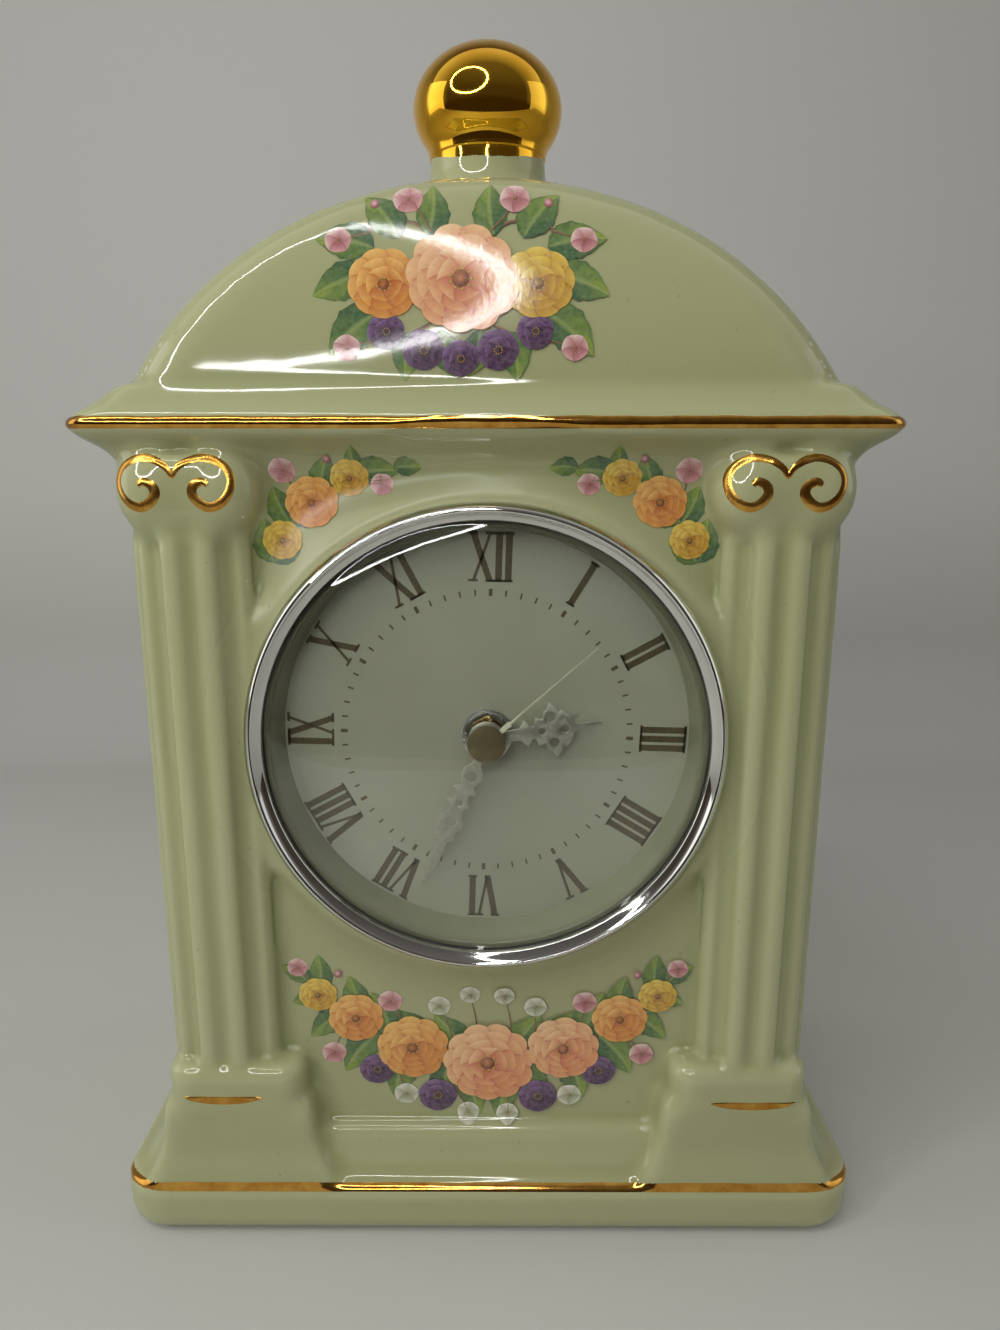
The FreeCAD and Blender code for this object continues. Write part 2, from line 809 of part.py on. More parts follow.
def gasket():
    """Ribbed soft ring that grips the hole in the case."""
    tip = INSERT_HOLE + " - gasket_gap"
    root = f"{tip} - gasket_rib"
    count = int(size("gasket_rib_count"))
    points = [("cup_radius", "-gasket_front"), (root, "-gasket_front")]
    for index in range(count):
        for share, radius in ((0.2, root), (0.4, tip), (0.6, tip), (0.8, root)):
            depth = f"-gasket_front - ({index} + {share}) * (gasket_back - gasket_front) / gasket_rib_count"
            points.append((radius, depth))
    points += [(root, "-gasket_back"), ("cup_radius", "-gasket_back")]
    piece(turned("gasket", points[::-1]), "gasket")


# Movement housing

MOVEMENT_FRONT = "(dial_depth + dial_thickness + cup_floor)"
HALF = "movement_width / 2"
BAY_LOW = "(movement_wall - movement_width / 2)"
BAY_HEIGHT = "(2 * battery_radius + bay_gap)"
BAY_HIGH = f"({BAY_LOW} + {BAY_HEIGHT})"


def deep(text):
    """Height in the dial frame of a depth behind the movement's front face."""
    return f"-{MOVEMENT_FRONT} - ({text})"


def housing_block(name, inset, near, far, low=None):
    """A rounded block of the movement's outline, or its part above a line, between two depths."""
    body = doc.addObject("PartDesign::Body", name)
    plan = rounded_rectangle(sketch(body, "XY_Plane", name + "_plan"), f"{inset} - {HALF}",
                             f"{HALF} - ({inset})", low or f"{inset} - {HALF}", f"{HALF} - ({inset})",
                             f"movement_corner - ({inset})")
    pad(body, plan, f"({far}) - ({near})", reversed_way=True)
    return on_dial(body, z=deep(near))


def movement_front_case():
    """Tray with the battery trough, the divider and the posts of the train bridge."""
    shell = housing_block("front_shell", "0", "0", "movement_split")
    inside = housing_block("front_inside", "movement_wall", "movement_floor", "movement_split + " + OVERRUN)
    tray = cut("front_tray", shell, inside)
    divider = dial_block("bay_divider", f"movement_wall - {HALF}", f"{HALF} - movement_wall",
                         BAY_HIGH, f"{BAY_HIGH} + bay_wall", deep("movement_split"), deep("0"))
    posts = [dial_rod(f"bridge_post_{index}", "post_radius", deep("bridge_depth"), deep("0"), x, y)
             for index, (x, y) in enumerate(BRIDGE_POSTS)]
    solid = fuse("front_solid", [tray, divider] + posts)
    hole = dial_rod("boss_hole", "boss_radius", deep(OVERRUN), deep("-" + OVERRUN))
    pivots = [dial_rod(f"front_pivot_{name}", "pivot_radius + running_gap",
                       deep("movement_floor"), deep("movement_floor / 2"), *AXES[name])
              for name in ("third", "rotor")]
    seat_hole = dial_rod("reverse_pivot_hole", "setting_arbor_radius + running_gap",
                         deep("movement_floor"), deep("movement_floor / 2"), *AXES["reverse"])
    piece(cut("front_case", solid, fuse("front_holes", [hole, seat_hole] + pivots)), "movement_front_case")


def movement_back_case():
    """Cover over the wheels. The battery trough below it stays open to the rear."""
    near = "movement_split"
    shell = housing_block("back_shell", "0", near, "movement_depth", low=BAY_HIGH)
    inside = housing_block("back_inside", "movement_wall", near + " - " + OVERRUN,
                           "movement_depth - movement_floor", low=f"{BAY_HIGH} + bay_wall")
    cover = cut("back_cover", shell, inside)
    rear = "movement_depth - movement_floor"
    bosses = [dial_rod(f"rear_boss_{name}", "4 * pivot_radius", deep(rear), deep(f"{rear} - movement_wall"),
                       *AXES[name]) for name in ("centre", "fifth", "rotor")]
    solid = fuse("back_solid", [cover] + bosses)
    far = deep(f"{rear} + movement_floor / 2")
    near = deep(f"{rear} - movement_wall - " + OVERRUN)
    holes = [dial_rod(f"rear_pivot_{name}", "pivot_radius + running_gap", far, near, *AXES[name])
             for name in ("centre", "fifth", "rotor")]
    setting = dial_rod("setting_hole", "setting_arbor_radius + running_gap",
                       deep("movement_depth + " + OVERRUN), deep(f"{rear} - " + OVERRUN), *AXES["reverse"])
    piece(cut("back_case", solid, fuse("back_holes", holes + [setting])), "movement_back_case")


def centre_bush():
    """Threaded bush that carries the hour tube and clamps the dial."""
    body = dial_rod("bush_body", "boss_radius", deep("movement_floor"), f"boss_height - {MOVEMENT_FRONT}")
    bore = dial_rod("bush_bore", "hour_tube_radius + running_gap", deep("movement_floor + " + OVERRUN),
                    f"boss_height + {OVERRUN} - {MOVEMENT_FRONT}")
    piece(cut("bush", body, bore), "centre_bush")


def dial_washer():
    outer = dial_rod("washer_outer", "washer_radius", "-dial_depth", "washer_thickness - dial_depth")
    inner = dial_rod("washer_inner", "boss_radius + boss_gap", "-dial_depth - " + OVERRUN, "0")
    piece(cut("washer", outer, inner), "dial_washer")


def hand_nut():
    """Round nut with four spanner slots."""
    low = "washer_thickness - dial_depth"
    outer = dial_rod("nut_outer", "nut_radius", low, f"{low} + nut_thickness")
    bore = dial_rod("nut_bore", "boss_radius + boss_gap", f"{low} - {OVERRUN}", f"{low} + {OVERRUN}")
    slots = []
    for name, along, across in (("level", "nut_radius", "nut_slot / 2"), ("upright", "nut_slot / 2", "nut_radius")):
        slots.append(dial_block(f"nut_slot_{name}", f"-({along})", along, f"-({across})", across,
                                f"{low} + nut_thickness - nut_slot_depth", f"{low} + {OVERRUN}"))
    piece(cut("nut", outer, fuse("nut_cuts", [bore] + slots)), "hand_nut")


def train_bridge():
    """Flat plate that carries the inner pivots of the train."""
    plate = dial_block("bridge_plate", "-bridge_left", "bridge_right", BRIDGE_LOW, BRIDGE_HIGH,
                       deep("bridge_depth + bridge_thickness"), deep("bridge_depth"))
    holes = [dial_rod("bridge_centre_hole", "3 * arbor_radius", deep("bridge_depth + " + OVERRUN),
                      deep("bridge_depth - " + OVERRUN))]
    for name, radius in (("third", "pivot_radius + running_gap"),
                         ("fifth", "pivot_radius + running_gap"),
                         ("rotor", "3 * arbor_radius"),
                         ("reverse", "setting_arbor_radius + 4 * running_gap")):
        holes.append(dial_rod(f"bridge_{name}_hole", radius, deep("bridge_depth + " + OVERRUN),
                              deep("bridge_depth - " + OVERRUN), *AXES[name]))
    piece(cut("bridge", plate, fuse("bridge_holes", holes)), "train_bridge")


# Battery and its contacts

BATTERY_Y = f"({BAY_LOW} + {BAY_HEIGHT} / 2)"
BATTERY_DEPTH = "(movement_floor + battery_lift + battery_radius)"


def battery():
    body = doc.addObject("PartDesign::Body", "battery_body")
    half = "(battery_length + battery_nub) / 2"
    top = f"{half} - battery_nub"
    revolve(body, outline(sketch(body, "XZ_Plane", "battery_profile"), [
        ("0", f"-({half})"),
        ("battery_radius - battery_round", f"-({half})"),
        ("battery_radius", f"battery_round - ({half})", "battery_round", "left"),
        ("battery_radius", f"{top} - battery_round"),
        ("battery_radius - battery_round", top, "battery_round", "left"),
        ("battery_nub_radius", top),
        ("battery_nub_radius", half),
        ("0", half),
    ]))
    at(body, "0", f"{SEAT_Y} + {MOVEMENT_FRONT} + {BATTERY_DEPTH}", f"dial_height + {BATTERY_Y}",
       Rotation(Vector(0, 1, 0), 90))
    piece(body, "battery")


CONTACT_HALF = f"({BAY_HEIGHT} / 2 - movement_corner + movement_wall - contact_gap)"


def contact(name, sign):
    """Bent sheet contact on an end wall of the trough."""
    end = "((battery_length + battery_nub) / 2 + contact_gap)"
    near, far = (end, f"{end} + contact_sheet")
    if sign < 0:
        near, far = (f"-({far})", f"-({near})")
    blade = dial_block(f"{name}_blade", near, far, f"{BATTERY_Y} - {CONTACT_HALF}",
                       f"{BATTERY_Y} + {CONTACT_HALF}",
                       deep("movement_floor + contact_height"), deep("movement_floor"))
    foot_near, foot_far = (end, f"{HALF} - movement_wall")
    if sign < 0:
        foot_near, foot_far = (f"movement_wall - {HALF}", f"-({end})")
    foot = dial_block(f"{name}_foot", foot_near, foot_far, f"{BATTERY_Y} - {CONTACT_HALF}",
                      f"{BATTERY_Y} + {CONTACT_HALF}",
                      deep("movement_floor + contact_sheet"), deep("movement_floor"))
    piece(fuse(f"{name}_solid", [blade, foot]), name)


# Toothed wheels

COUNTS = {
    "rotor_pinion": 6, "fifth_wheel": 36, "fifth_pinion": 6, "second_wheel": 30, "second_pinion": 8,
    "third_wheel": 60, "third_pinion": 8, "centre_wheel": 64, "cannon_pinion": 12, "reverse_wheel": 36,
    "reverse_pinion": 10, "hour_wheel": 40,
}
MODULE_SHARES = {"rotor": 1.07, "fifth": 1.34, "second": 1.0, "third": 34 / 36, "cannon": 1.566,
                 "reverse": 1.566 * 24 / 25}


def spread(pair, driver, driven):
    """Distance between the axes of two wheels in mesh."""
    return f"(train_module * {MODULE_SHARES[pair]} * {(COUNTS[driver] + COUNTS[driven]) / 2})"


AXES = {
    "centre": ("0", "0"),
    "third": ("-" + spread("second", "second_pinion", "third_wheel"), "0"),
    "fifth": ("0", spread("fifth", "fifth_pinion", "second_wheel")),
}
AXES["rotor"] = ("0", AXES["fifth"][1] + " + " + spread("rotor", "rotor_pinion", "fifth_wheel"))
REVERSE_ANGLE = 20.0
AXES["reverse"] = tuple(
    spread("cannon", "cannon_pinion", "reverse_wheel") + f" * {share}"
    for share in (math.cos(math.radians(REVERSE_ANGLE)), math.sin(math.radians(REVERSE_ANGLE))))
BRIDGE_LOW = f"({BAY_HIGH} + bay_wall + lid_gap)"
BRIDGE_HIGH = "(coil_height - bobbin_flange - 2 * lid_gap)"
BRIDGE_POSTS = [(x, y) for x in ("post_inset - bridge_left", "bridge_right - post_inset")
                for y in (f"{BRIDGE_LOW} + post_inset", f"{BRIDGE_HIGH} - post_inset")]

# Tooth proportions in modules, the widths as shares of the pitch
ADDENDUM_SHARE = 0.72
DEDENDUM_SHARE = 1.0
ROOT_WIDTH_SHARE = 0.58
PITCH_WIDTH_SHARE = 0.40
TIP_WIDTH_SHARE = 0.20


def toothed(name, gear, pair, phase, near, far, axis):
    """A toothed disc between two depths, its first tooth at the phase angle in degrees."""
    count = COUNTS[gear]
    module = size("train_module") * MODULE_SHARES[pair]
    radius = module * count / 2
    pitch = 2 * math.pi / count
    corners = []
    for tooth in range(count):
        middle = math.radians(phase) + tooth * pitch
        for reach, width in ((-DEDENDUM_SHARE, -ROOT_WIDTH_SHARE), (ADDENDUM_SHARE, -TIP_WIDTH_SHARE),
                             (ADDENDUM_SHARE, TIP_WIDTH_SHARE), (-DEDENDUM_SHARE, ROOT_WIDTH_SHARE)):
            turn = middle + width * pitch / 2
            length = radius + reach * module
            corners.append(Vector(length * math.cos(turn), length * math.sin(turn), 0))
    face = Part.Face(Part.makePolygon(corners + corners[:1]))
    item = doc.addObject("Part::Feature", name)
    item.Shape = face.extrude(Vector(0, 0, size(f"({far}) - ({near})")))
    return on_dial(item, axis[0], axis[1], deep(far))


def bearing(first, second):
    """Direction in degrees, in the dial frame, from one axis to another."""
    across = size(f"({AXES[second][0]}) - ({AXES[first][0]})")
    up = size(f"({AXES[second][1]}) - ({AXES[first][1]})")
    return math.degrees(math.atan2(up, across))


def gap_phase(gear, direction):
    """Phase that puts a gap, not a tooth, in a direction."""
    return direction + 180 / COUNTS[gear]


def arbor(name, radius, near, far, axis):
    return dial_rod(name, radius, deep(far), deep(near), *axis)


REAR = "(movement_depth - movement_floor)"
LEVELS = {
    "hour": ("movement_floor + end_gap", "movement_floor + end_gap + wheel_thickness"),
    "reverse_pinion": ("movement_floor + end_gap", "movement_floor + 2 * end_gap + 1.5 * wheel_thickness"),
    "reverse": ("movement_floor + 2 * end_gap + 1.5 * wheel_thickness",
                "movement_floor + 2 * end_gap + 2.5 * wheel_thickness"),
    "cannon": ("movement_floor + 2 * end_gap + 1.4 * wheel_thickness",
               "movement_floor + 2 * end_gap + 2.7 * wheel_thickness"),
    "centre": ("movement_floor + 3 * end_gap + 3.1 * wheel_thickness",
               "movement_floor + 3 * end_gap + 4.1 * wheel_thickness"),
    "third_pinion": ("movement_floor + 3 * end_gap + 2.9 * wheel_thickness",
                     "movement_floor + 3 * end_gap + 4.4 * wheel_thickness"),
    "third": ("bridge_depth - end_gap - 1.4 * wheel_thickness",
              "bridge_depth - end_gap - 0.4 * wheel_thickness"),
    "second_pinion": ("bridge_depth - end_gap - 1.7 * wheel_thickness", "bridge_depth - end_gap"),
    "second": ("bridge_depth + bridge_thickness + 2 * end_gap",
               "bridge_depth + bridge_thickness + 2 * end_gap + wheel_thickness"),
    "fifth_pinion": ("bridge_depth + bridge_thickness + end_gap",
                     "bridge_depth + bridge_thickness + 2 * end_gap + 1.5 * wheel_thickness"),
    "fifth": ("bridge_depth + bridge_thickness + 3 * end_gap + 2.5 * wheel_thickness",
              "bridge_depth + bridge_thickness + 3 * end_gap + 3.5 * wheel_thickness"),
    "rotor_pinion": ("bridge_depth + bridge_thickness + 3 * end_gap + 2.2 * wheel_thickness",
                     "bridge_depth + bridge_thickness + 3 * end_gap + 3.8 * wheel_thickness"),
}


def rotor():
    axis = AXES["rotor"]
    toward = bearing("rotor", "fifth")
    pinion = toothed("rotor_leaves", "rotor_pinion", "rotor", toward, *LEVELS["rotor_pinion"], axis)
    staff = arbor("rotor_staff", "arbor_radius", "movement_floor + end_gap",
                  f"{REAR} - movement_wall - end_gap", axis)
    pivots = arbor("rotor_pivots", "pivot_radius", "movement_floor / 2 + end_gap", f"{REAR} - end_gap", axis)
    piece(fuse("rotor_solid", [pinion, staff, pivots]), "rotor_pinion")
    magnet = arbor("magnet_outer", "magnet_radius", STATOR_DEPTH + " - magnet_height / 2",
                   STATOR_DEPTH + " + magnet_height / 2", axis)
    bore = arbor("magnet_bore", "arbor_radius", STATOR_DEPTH + " - magnet_height",
                 STATOR_DEPTH + " + magnet_height", axis)
    piece(cut("magnet", magnet, bore), "rotor_magnet")


def fifth_wheel():
    axis = AXES["fifth"]
    phase = gap_phase("fifth_wheel", bearing("fifth", "rotor"))
    wheel = toothed("fifth_disc", "fifth_wheel", "rotor", phase, *LEVELS["fifth"], axis)
    pinion = toothed("fifth_leaves", "fifth_pinion", "fifth", bearing("fifth", "centre"),
                     *LEVELS["fifth_pinion"], axis)
    staff = arbor("fifth_staff", "arbor_radius", "bridge_depth + bridge_thickness + end_gap",
                  f"{REAR} - movement_wall - end_gap", axis)
    pivots = arbor("fifth_pivots", "pivot_radius", "bridge_depth", f"{REAR} - end_gap", axis)
    piece(fuse("fifth_solid", [wheel, pinion, staff, pivots]), "fifth_wheel")


def second_wheel():
    axis = AXES["centre"]
    phase = gap_phase("second_wheel", bearing("centre", "fifth"))
    wheel = toothed("second_disc", "second_wheel", "fifth", phase, *LEVELS["second"], axis)
    pinion = toothed("second_leaves", "second_pinion", "second", bearing("centre", "third"),
                     *LEVELS["second_pinion"], axis)
    staff = arbor("second_staff", "arbor_radius",
                  "-dial_thickness - cup_floor - second_hand_height - second_cap_height / 2",
                  f"{REAR} - movement_wall - end_gap", axis)
    pivots = arbor("second_pivot", "pivot_radius", "bridge_depth", f"{REAR} - end_gap", axis)
    piece(fuse("second_solid", [wheel, pinion, staff, pivots]), "second_wheel")


def third_wheel():
    axis = AXES["third"]
    phase = gap_phase("third_wheel", bearing("third", "centre"))
    wheel = toothed("third_disc", "third_wheel", "second", phase, *LEVELS["third"], axis)
    pinion = toothed("third_leaves", "third_pinion", "third", bearing("third", "centre"),
                     *LEVELS["third_pinion"], axis)
    staff = arbor("third_staff", "pivot_radius", "movement_floor / 2 + end_gap",
                  "bridge_depth + bridge_thickness", axis)
    piece(fuse("third_solid", [wheel, pinion, staff]), "third_wheel")


def centre_wheel():
    axis = AXES["centre"]
    phase = gap_phase("centre_wheel", bearing("centre", "third"))
    wheel = toothed("centre_disc", "centre_wheel", "third", phase, *LEVELS["centre"], axis)
    near, far = LEVELS["centre"]
    bore = arbor("centre_bore", "minute_tube_radius + running_gap",
                 f"{near} - {OVERRUN}", f"{far} + {OVERRUN}", axis)
    piece(cut("centre_solid", wheel, bore), "centre_wheel")


def hand_depth(height):
    """Depth, negative in front of the movement, of a height above the dial."""
    return f"-dial_thickness - cup_floor - ({height})"


def cannon_pinion():
    """Minute tube with its pinion. The centre wheel grips its tail through a slip clutch."""
    axis = AXES["centre"]
    pinion = toothed("cannon_leaves", "cannon_pinion", "cannon", bearing("centre", "reverse"),
                     *LEVELS["cannon"], axis)
    tube = arbor("minute_tube", "minute_tube_radius", hand_depth("minute_hand_height + hand_sheet"),
                 LEVELS["centre"][1] + " + 2 * end_gap", axis)
    bore = arbor("minute_bore", "arbor_radius + running_gap",
                 hand_depth("second_hand_height + " + OVERRUN), LEVELS["centre"][1] + " + " + OVERRUN, axis)
    piece(cut("cannon_solid", fuse("cannon_blank", [pinion, tube]), bore), "cannon_pinion")


def reverse_wheel():
    """Wheel, pinion and arbor that the setting knob turns."""
    axis = AXES["reverse"]
    back = bearing("reverse", "centre")
    wheel = toothed("reverse_disc", "reverse_wheel", "cannon", gap_phase("reverse_wheel", back),
                    *LEVELS["reverse"], axis)
    pinion = toothed("reverse_leaves", "reverse_pinion", "reverse", back, *LEVELS["reverse_pinion"], axis)
    staff = arbor("setting_arbor", "setting_arbor_radius", "movement_floor / 2 + end_gap",
                  "movement_depth + knob_gap + knob_height / 2", axis)
    piece(fuse("reverse_solid", [wheel, pinion, staff]), "reverse_wheel")


def hour_wheel():
    axis = AXES["centre"]
    phase = gap_phase("hour_wheel", bearing("centre", "reverse"))
    wheel = toothed("hour_disc", "hour_wheel", "reverse", phase, *LEVELS["hour"], axis)
    tube = arbor("hour_tube", "hour_tube_radius", hand_depth("hour_hand_height + hand_sheet"),
                 LEVELS["hour"][0] + " + wheel_thickness / 2", axis)
    bore = arbor("hour_bore", "minute_tube_radius + running_gap",
                 hand_depth("second_hand_height"), LEVELS["hour"][1] + " + " + OVERRUN, axis)
    piece(cut("hour_solid", fuse("hour_blank", [wheel, tube]), bore), "hour_wheel")


def set_knob():
    """Knob behind the movement, grooved round its edge."""
    body = doc.addObject("PartDesign::Body", "knob_body")
    disc = pad(body, ring_line(sketch(body, "XY_Plane", "knob_plan"), "knob_radius"), "knob_height",
               reversed_way=True)
    rim = edges_where(disc, lambda box: box.ZMax < size("-knob_height / 2"))
    soften(body, disc, rim, "knob_groove")
    groove = pocket(body, ring_line(sketch(body, "XY_Plane", "knob_groove_plan", "knob_groove"),
                                    "knob_groove", "knob_radius + knob_groove / 3", "0"),
                    "knob_height + 2 * knob_groove")
    around(body, groove, "knob_groove_count")
    on_dial(body, *AXES["reverse"], deep("movement_depth + knob_gap"))
    hole = arbor("knob_hole", "setting_arbor_radius", "movement_depth",
                 "movement_depth + knob_gap + knob_height / 2", AXES["reverse"])
    piece(cut("knob", body, hole), "set_knob")


# Stator, coil, board and crystal

STATOR_DEPTH = "(bridge_depth - end_gap - 2 * wheel_thickness)"


def stator():
    """Lamination round the rotor, with arms up to the core that runs through the coil."""
    x, y = AXES["rotor"]
    near = f"{STATOR_DEPTH} - stator_sheet / 2"
    far = f"{STATOR_DEPTH} + stator_sheet / 2"
    ring = arbor("stator_ring", "stator_ring_radius", near, far, (x, y))
    lower = dial_block("stator_foot", "-stator_reach", "stator_reach", f"{y} - stator_arm / 2",
                       f"{y} + stator_arm / 2", deep(far), deep(near))
    arms = [dial_block(f"stator_arm_{side}", f"{place} - stator_arm / 2", f"{place} + stator_arm / 2",
                       f"{y} - stator_arm / 2", "coil_height + stator_arm / 2", deep(far), deep(near))
            for side, place in (("left", "-stator_reach"), ("right", "stator_reach"))]
    core = dial_block("stator_core", "-stator_reach", "stator_reach", "coil_height - stator_arm / 2",
                      "coil_height + stator_arm / 2", deep(far), deep(near))
    solid = fuse("stator_blank", [ring, lower, core] + arms)
    bore = arbor("stator_bore", "magnet_radius + stator_gap",
                 f"{near} - {OVERRUN}", f"{far} + {OVERRUN}", (x, y))
    piece(cut("stator_solid", solid, bore), "stator")


def coil():
    """Winding on its bobbin round the stator's core."""
    depth = STATOR_DEPTH
    half = "coil_length / 2"

    def lying(name, radius, x0, x1):
        item = doc.addObject("Part::Cylinder", name)
        drive(item, "Radius", radius)
        drive(item, "Height", f"({x1}) - ({x0})")
        return at(item, x0, f"{SEAT_Y} + {MOVEMENT_FRONT} + {depth}", "dial_height + coil_height",
                  Rotation(Vector(0, 1, 0), 90))

    sleeve = "stator_arm / 2 + 3 * coil_wall"
    winding = lying("winding_outer", "coil_radius", f"-{half}", half)
    inner = lying("winding_inner", sleeve, f"-{half} - {OVERRUN}", f"{half} + {OVERRUN}")
    piece(cut("winding", winding, inner), "coil_winding")
    tube = lying("bobbin_tube", sleeve, f"-{half}", half)
    end = f"{half} + bobbin_flange_thickness"
    flanges = [lying("bobbin_flange_left", "bobbin_flange", f"-({end})", f"-{half}"),
               lying("bobbin_flange_right", "bobbin_flange", half, end)]
    blank = fuse("bobbin_blank", [tube] + flanges)
    slot = dial_block("bobbin_slot", f"-{half} - {OVERRUN}", f"{half} + {OVERRUN}",
                      "coil_height - stator_arm / 2", "coil_height + stator_arm / 2",
                      deep(f"{depth} + stator_sheet / 2"), deep(f"{depth} - stator_sheet / 2"))
    piece(cut("bobbin", blank, slot), "coil_bobbin")


def board():
    near = "bridge_depth + bridge_thickness"
    far = f"{near} + board_thickness"
    piece(dial_block("board", "board_x - board_width / 2", "board_x + board_width / 2",
                     "board_y - board_height / 2", "board_y + board_height / 2", deep(far), deep(near)),
          "circuit_board")
    piece(dial_rod("chip_dome", "chip_radius", deep(f"{far} + chip_height"), deep(far),
                   "board_x", "board_y - board_height / 4"), "chip")
    can = doc.addObject("Part::Cylinder", "crystal_can")
    drive(can, "Radius", "crystal_radius")
    drive(can, "Height", "crystal_length")
    at(can, "board_x", f"{SEAT_Y} + {MOVEMENT_FRONT} + {far} + crystal_radius",
       "dial_height + board_y + board_height / 8")
    piece(can, "quartz_crystal")


# Hands. Outlines run along y from the centre, in shares of the hand's length.

HOUR_OUTLINE_SHARES = (
    (0.05, 0.12), (0.052, 0.29), (0.115, 0.345), (0.06, 0.39), (0.055, 0.42), (0.125, 0.44), (0.105, 0.50),
    (0.17, 0.515), (0.185, 0.545), (0.25, 0.575), (0.20, 0.625), (0.145, 0.64), (0.165, 0.675), (0.12, 0.72),
    (0.05, 0.755), (0.024, 0.81), (0.008, 1.0))
HOUR_OPENING_SHARES = (
    ((0.0, 0.48), 0.032), ((0.115, 0.575), 0.042), ((-0.115, 0.575), 0.042), ((0.0, 0.68), 0.04))
MINUTE_OUTLINE_SHARES = (
    (0.03, 0.06), (0.028, 0.155), (0.06, 0.195), (0.066, 0.245), (0.04, 0.30), (0.075, 0.335), (0.035, 0.355),
    (0.045, 0.40), (0.08, 0.425), (0.04, 0.45), (0.05, 0.49), (0.08, 0.54), (0.082, 0.575), (0.05, 0.62),
    (0.065, 0.65), (0.032, 0.69), (0.034, 0.80), (0.028, 0.88), (0.006, 1.0))
MINUTE_OPENING_SHARES = (((0.0, 0.235), 0.034), ((0.0, 0.42), 0.022), ((0.0, 0.55), 0.032))


def ornate_hand(name, length, tube, height, angle, outline_shares, opening_shares):
    """Pierced sheet hand with a collar that is pressed on its tube."""
    body = doc.addObject("PartDesign::Body", name + "_blade")
    right = [(f"{across} * {length}", f"{along} * {length}") for across, along in outline_shares]
    left = [(f"-{across} * {length}", f"{along} * {length}") for across, along in outline_shares[::-1]]
    profile = outline(sketch(body, "XY_Plane", name + "_outline"), right + left)
    for (across, along), radius in opening_shares:
        ring_line(profile, f"{radius} * {length}", f"{across} * {length}", f"{along} * {length}")
    pad(body, profile, "hand_sheet")
    low = f"{height} - dial_depth"
    on_dial(body, z=low, angle=angle)
    collar = dial_rod(name + "_collar", f"{tube} + hand_collar_wall", f"{low} - hand_collar + hand_sheet",
                      f"{low} + hand_sheet")
    boss = dial_rod(name + "_boss", f"{tube} + 2 * hand_collar_wall", low, f"{low} + hand_sheet")
    bore = dial_rod(name + "_bore", tube, f"{low} - {OVERRUN}", f"{low} + {OVERRUN}")
    piece(cut(name + "_solid", fuse(name + "_blank", [body, collar, boss]), bore), name)


def second_hand():
    low = "second_hand_height - dial_depth"
    needle = doc.addObject("PartDesign::Body", "second_needle")
    half = "second_hand_width / 2"
    stub = "second_stub_width / 2"
    profile = outline(sketch(needle, "XY_Plane", "needle_outline"), [
        (stub, "0"), (stub, "second_stub_length"), (half, "second_stub_length"),
        (f"{half} / 2", "second_hand_length"), (f"-{half} / 2", "second_hand_length"),
        (f"-{half}", "second_stub_length"), (f"-{stub}", "second_stub_length"), (f"-{stub}", "0")])
    pad(needle, profile, "hand_sheet")
    on_dial(needle, z=low, angle=SECOND_ANGLE)
    cap = dial_rod("second_cap", "second_cap_radius", low, f"{low} + second_cap_height")
    hole = dial_rod("second_hole", "arbor_radius", f"{low} - {OVERRUN}", f"{low} + second_cap_height / 2")
    piece(cut("second_hand_solid", fuse("second_hand_blank", [needle, cap]), hole), "second_hand")


# Assembly

porcelain_case()
finial_ball()
bezel()
lens()
dial_ring()
dial()
insert_cup()
gasket()
movement_front_case()
movement_back_case()
centre_bush()
dial_washer()
hand_nut()
train_bridge()
battery()
contact("contact_positive", 1)
contact("contact_negative", -1)
rotor()
fifth_wheel()
second_wheel()
third_wheel()
centre_wheel()
cannon_pinion()
reverse_wheel()
hour_wheel()
set_knob()
stator()
coil()
board()
ornate_hand("hour_hand", "hour_hand_length", "hour_tube_radius", "hour_hand_height", HOUR_ANGLE,
            HOUR_OUTLINE_SHARES, HOUR_OPENING_SHARES)
ornate_hand("minute_hand", "minute_hand_length", "minute_tube_radius", "minute_hand_height", MINUTE_ANGLE,
            MINUTE_OUTLINE_SHARES, MINUTE_OPENING_SHARES)
second_hand()

doc.recompute()
failed = [item.Label for item in doc.Objects if {"Invalid", "Error"} & set(item.State)]
if failed:
    raise RuntimeError("Not built: " + ", ".join(failed))
for item in PIECES:
    if item.Shape.isNull() or not item.Shape.isValid() or not item.Shape.Solids:
        raise RuntimeError("Bad shape: " + item.Label)
for item in PIECES:
    item.Shape.exportStep(f"parts/{item.Label}.step")
    print(f"{item.Label}: {len(item.Shape.Solids)} solid, {item.Shape.Volume / 1000:.3f} cm3")
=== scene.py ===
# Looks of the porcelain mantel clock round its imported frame. Lengths are in metres.
# X runs to the right, Y away from the viewer and Z up. The dial faces -Y.
import math

import bmesh
import bpy
import numpy as np
from mathutils import Matrix, Vector
from mathutils.bvhtree import BVHTree

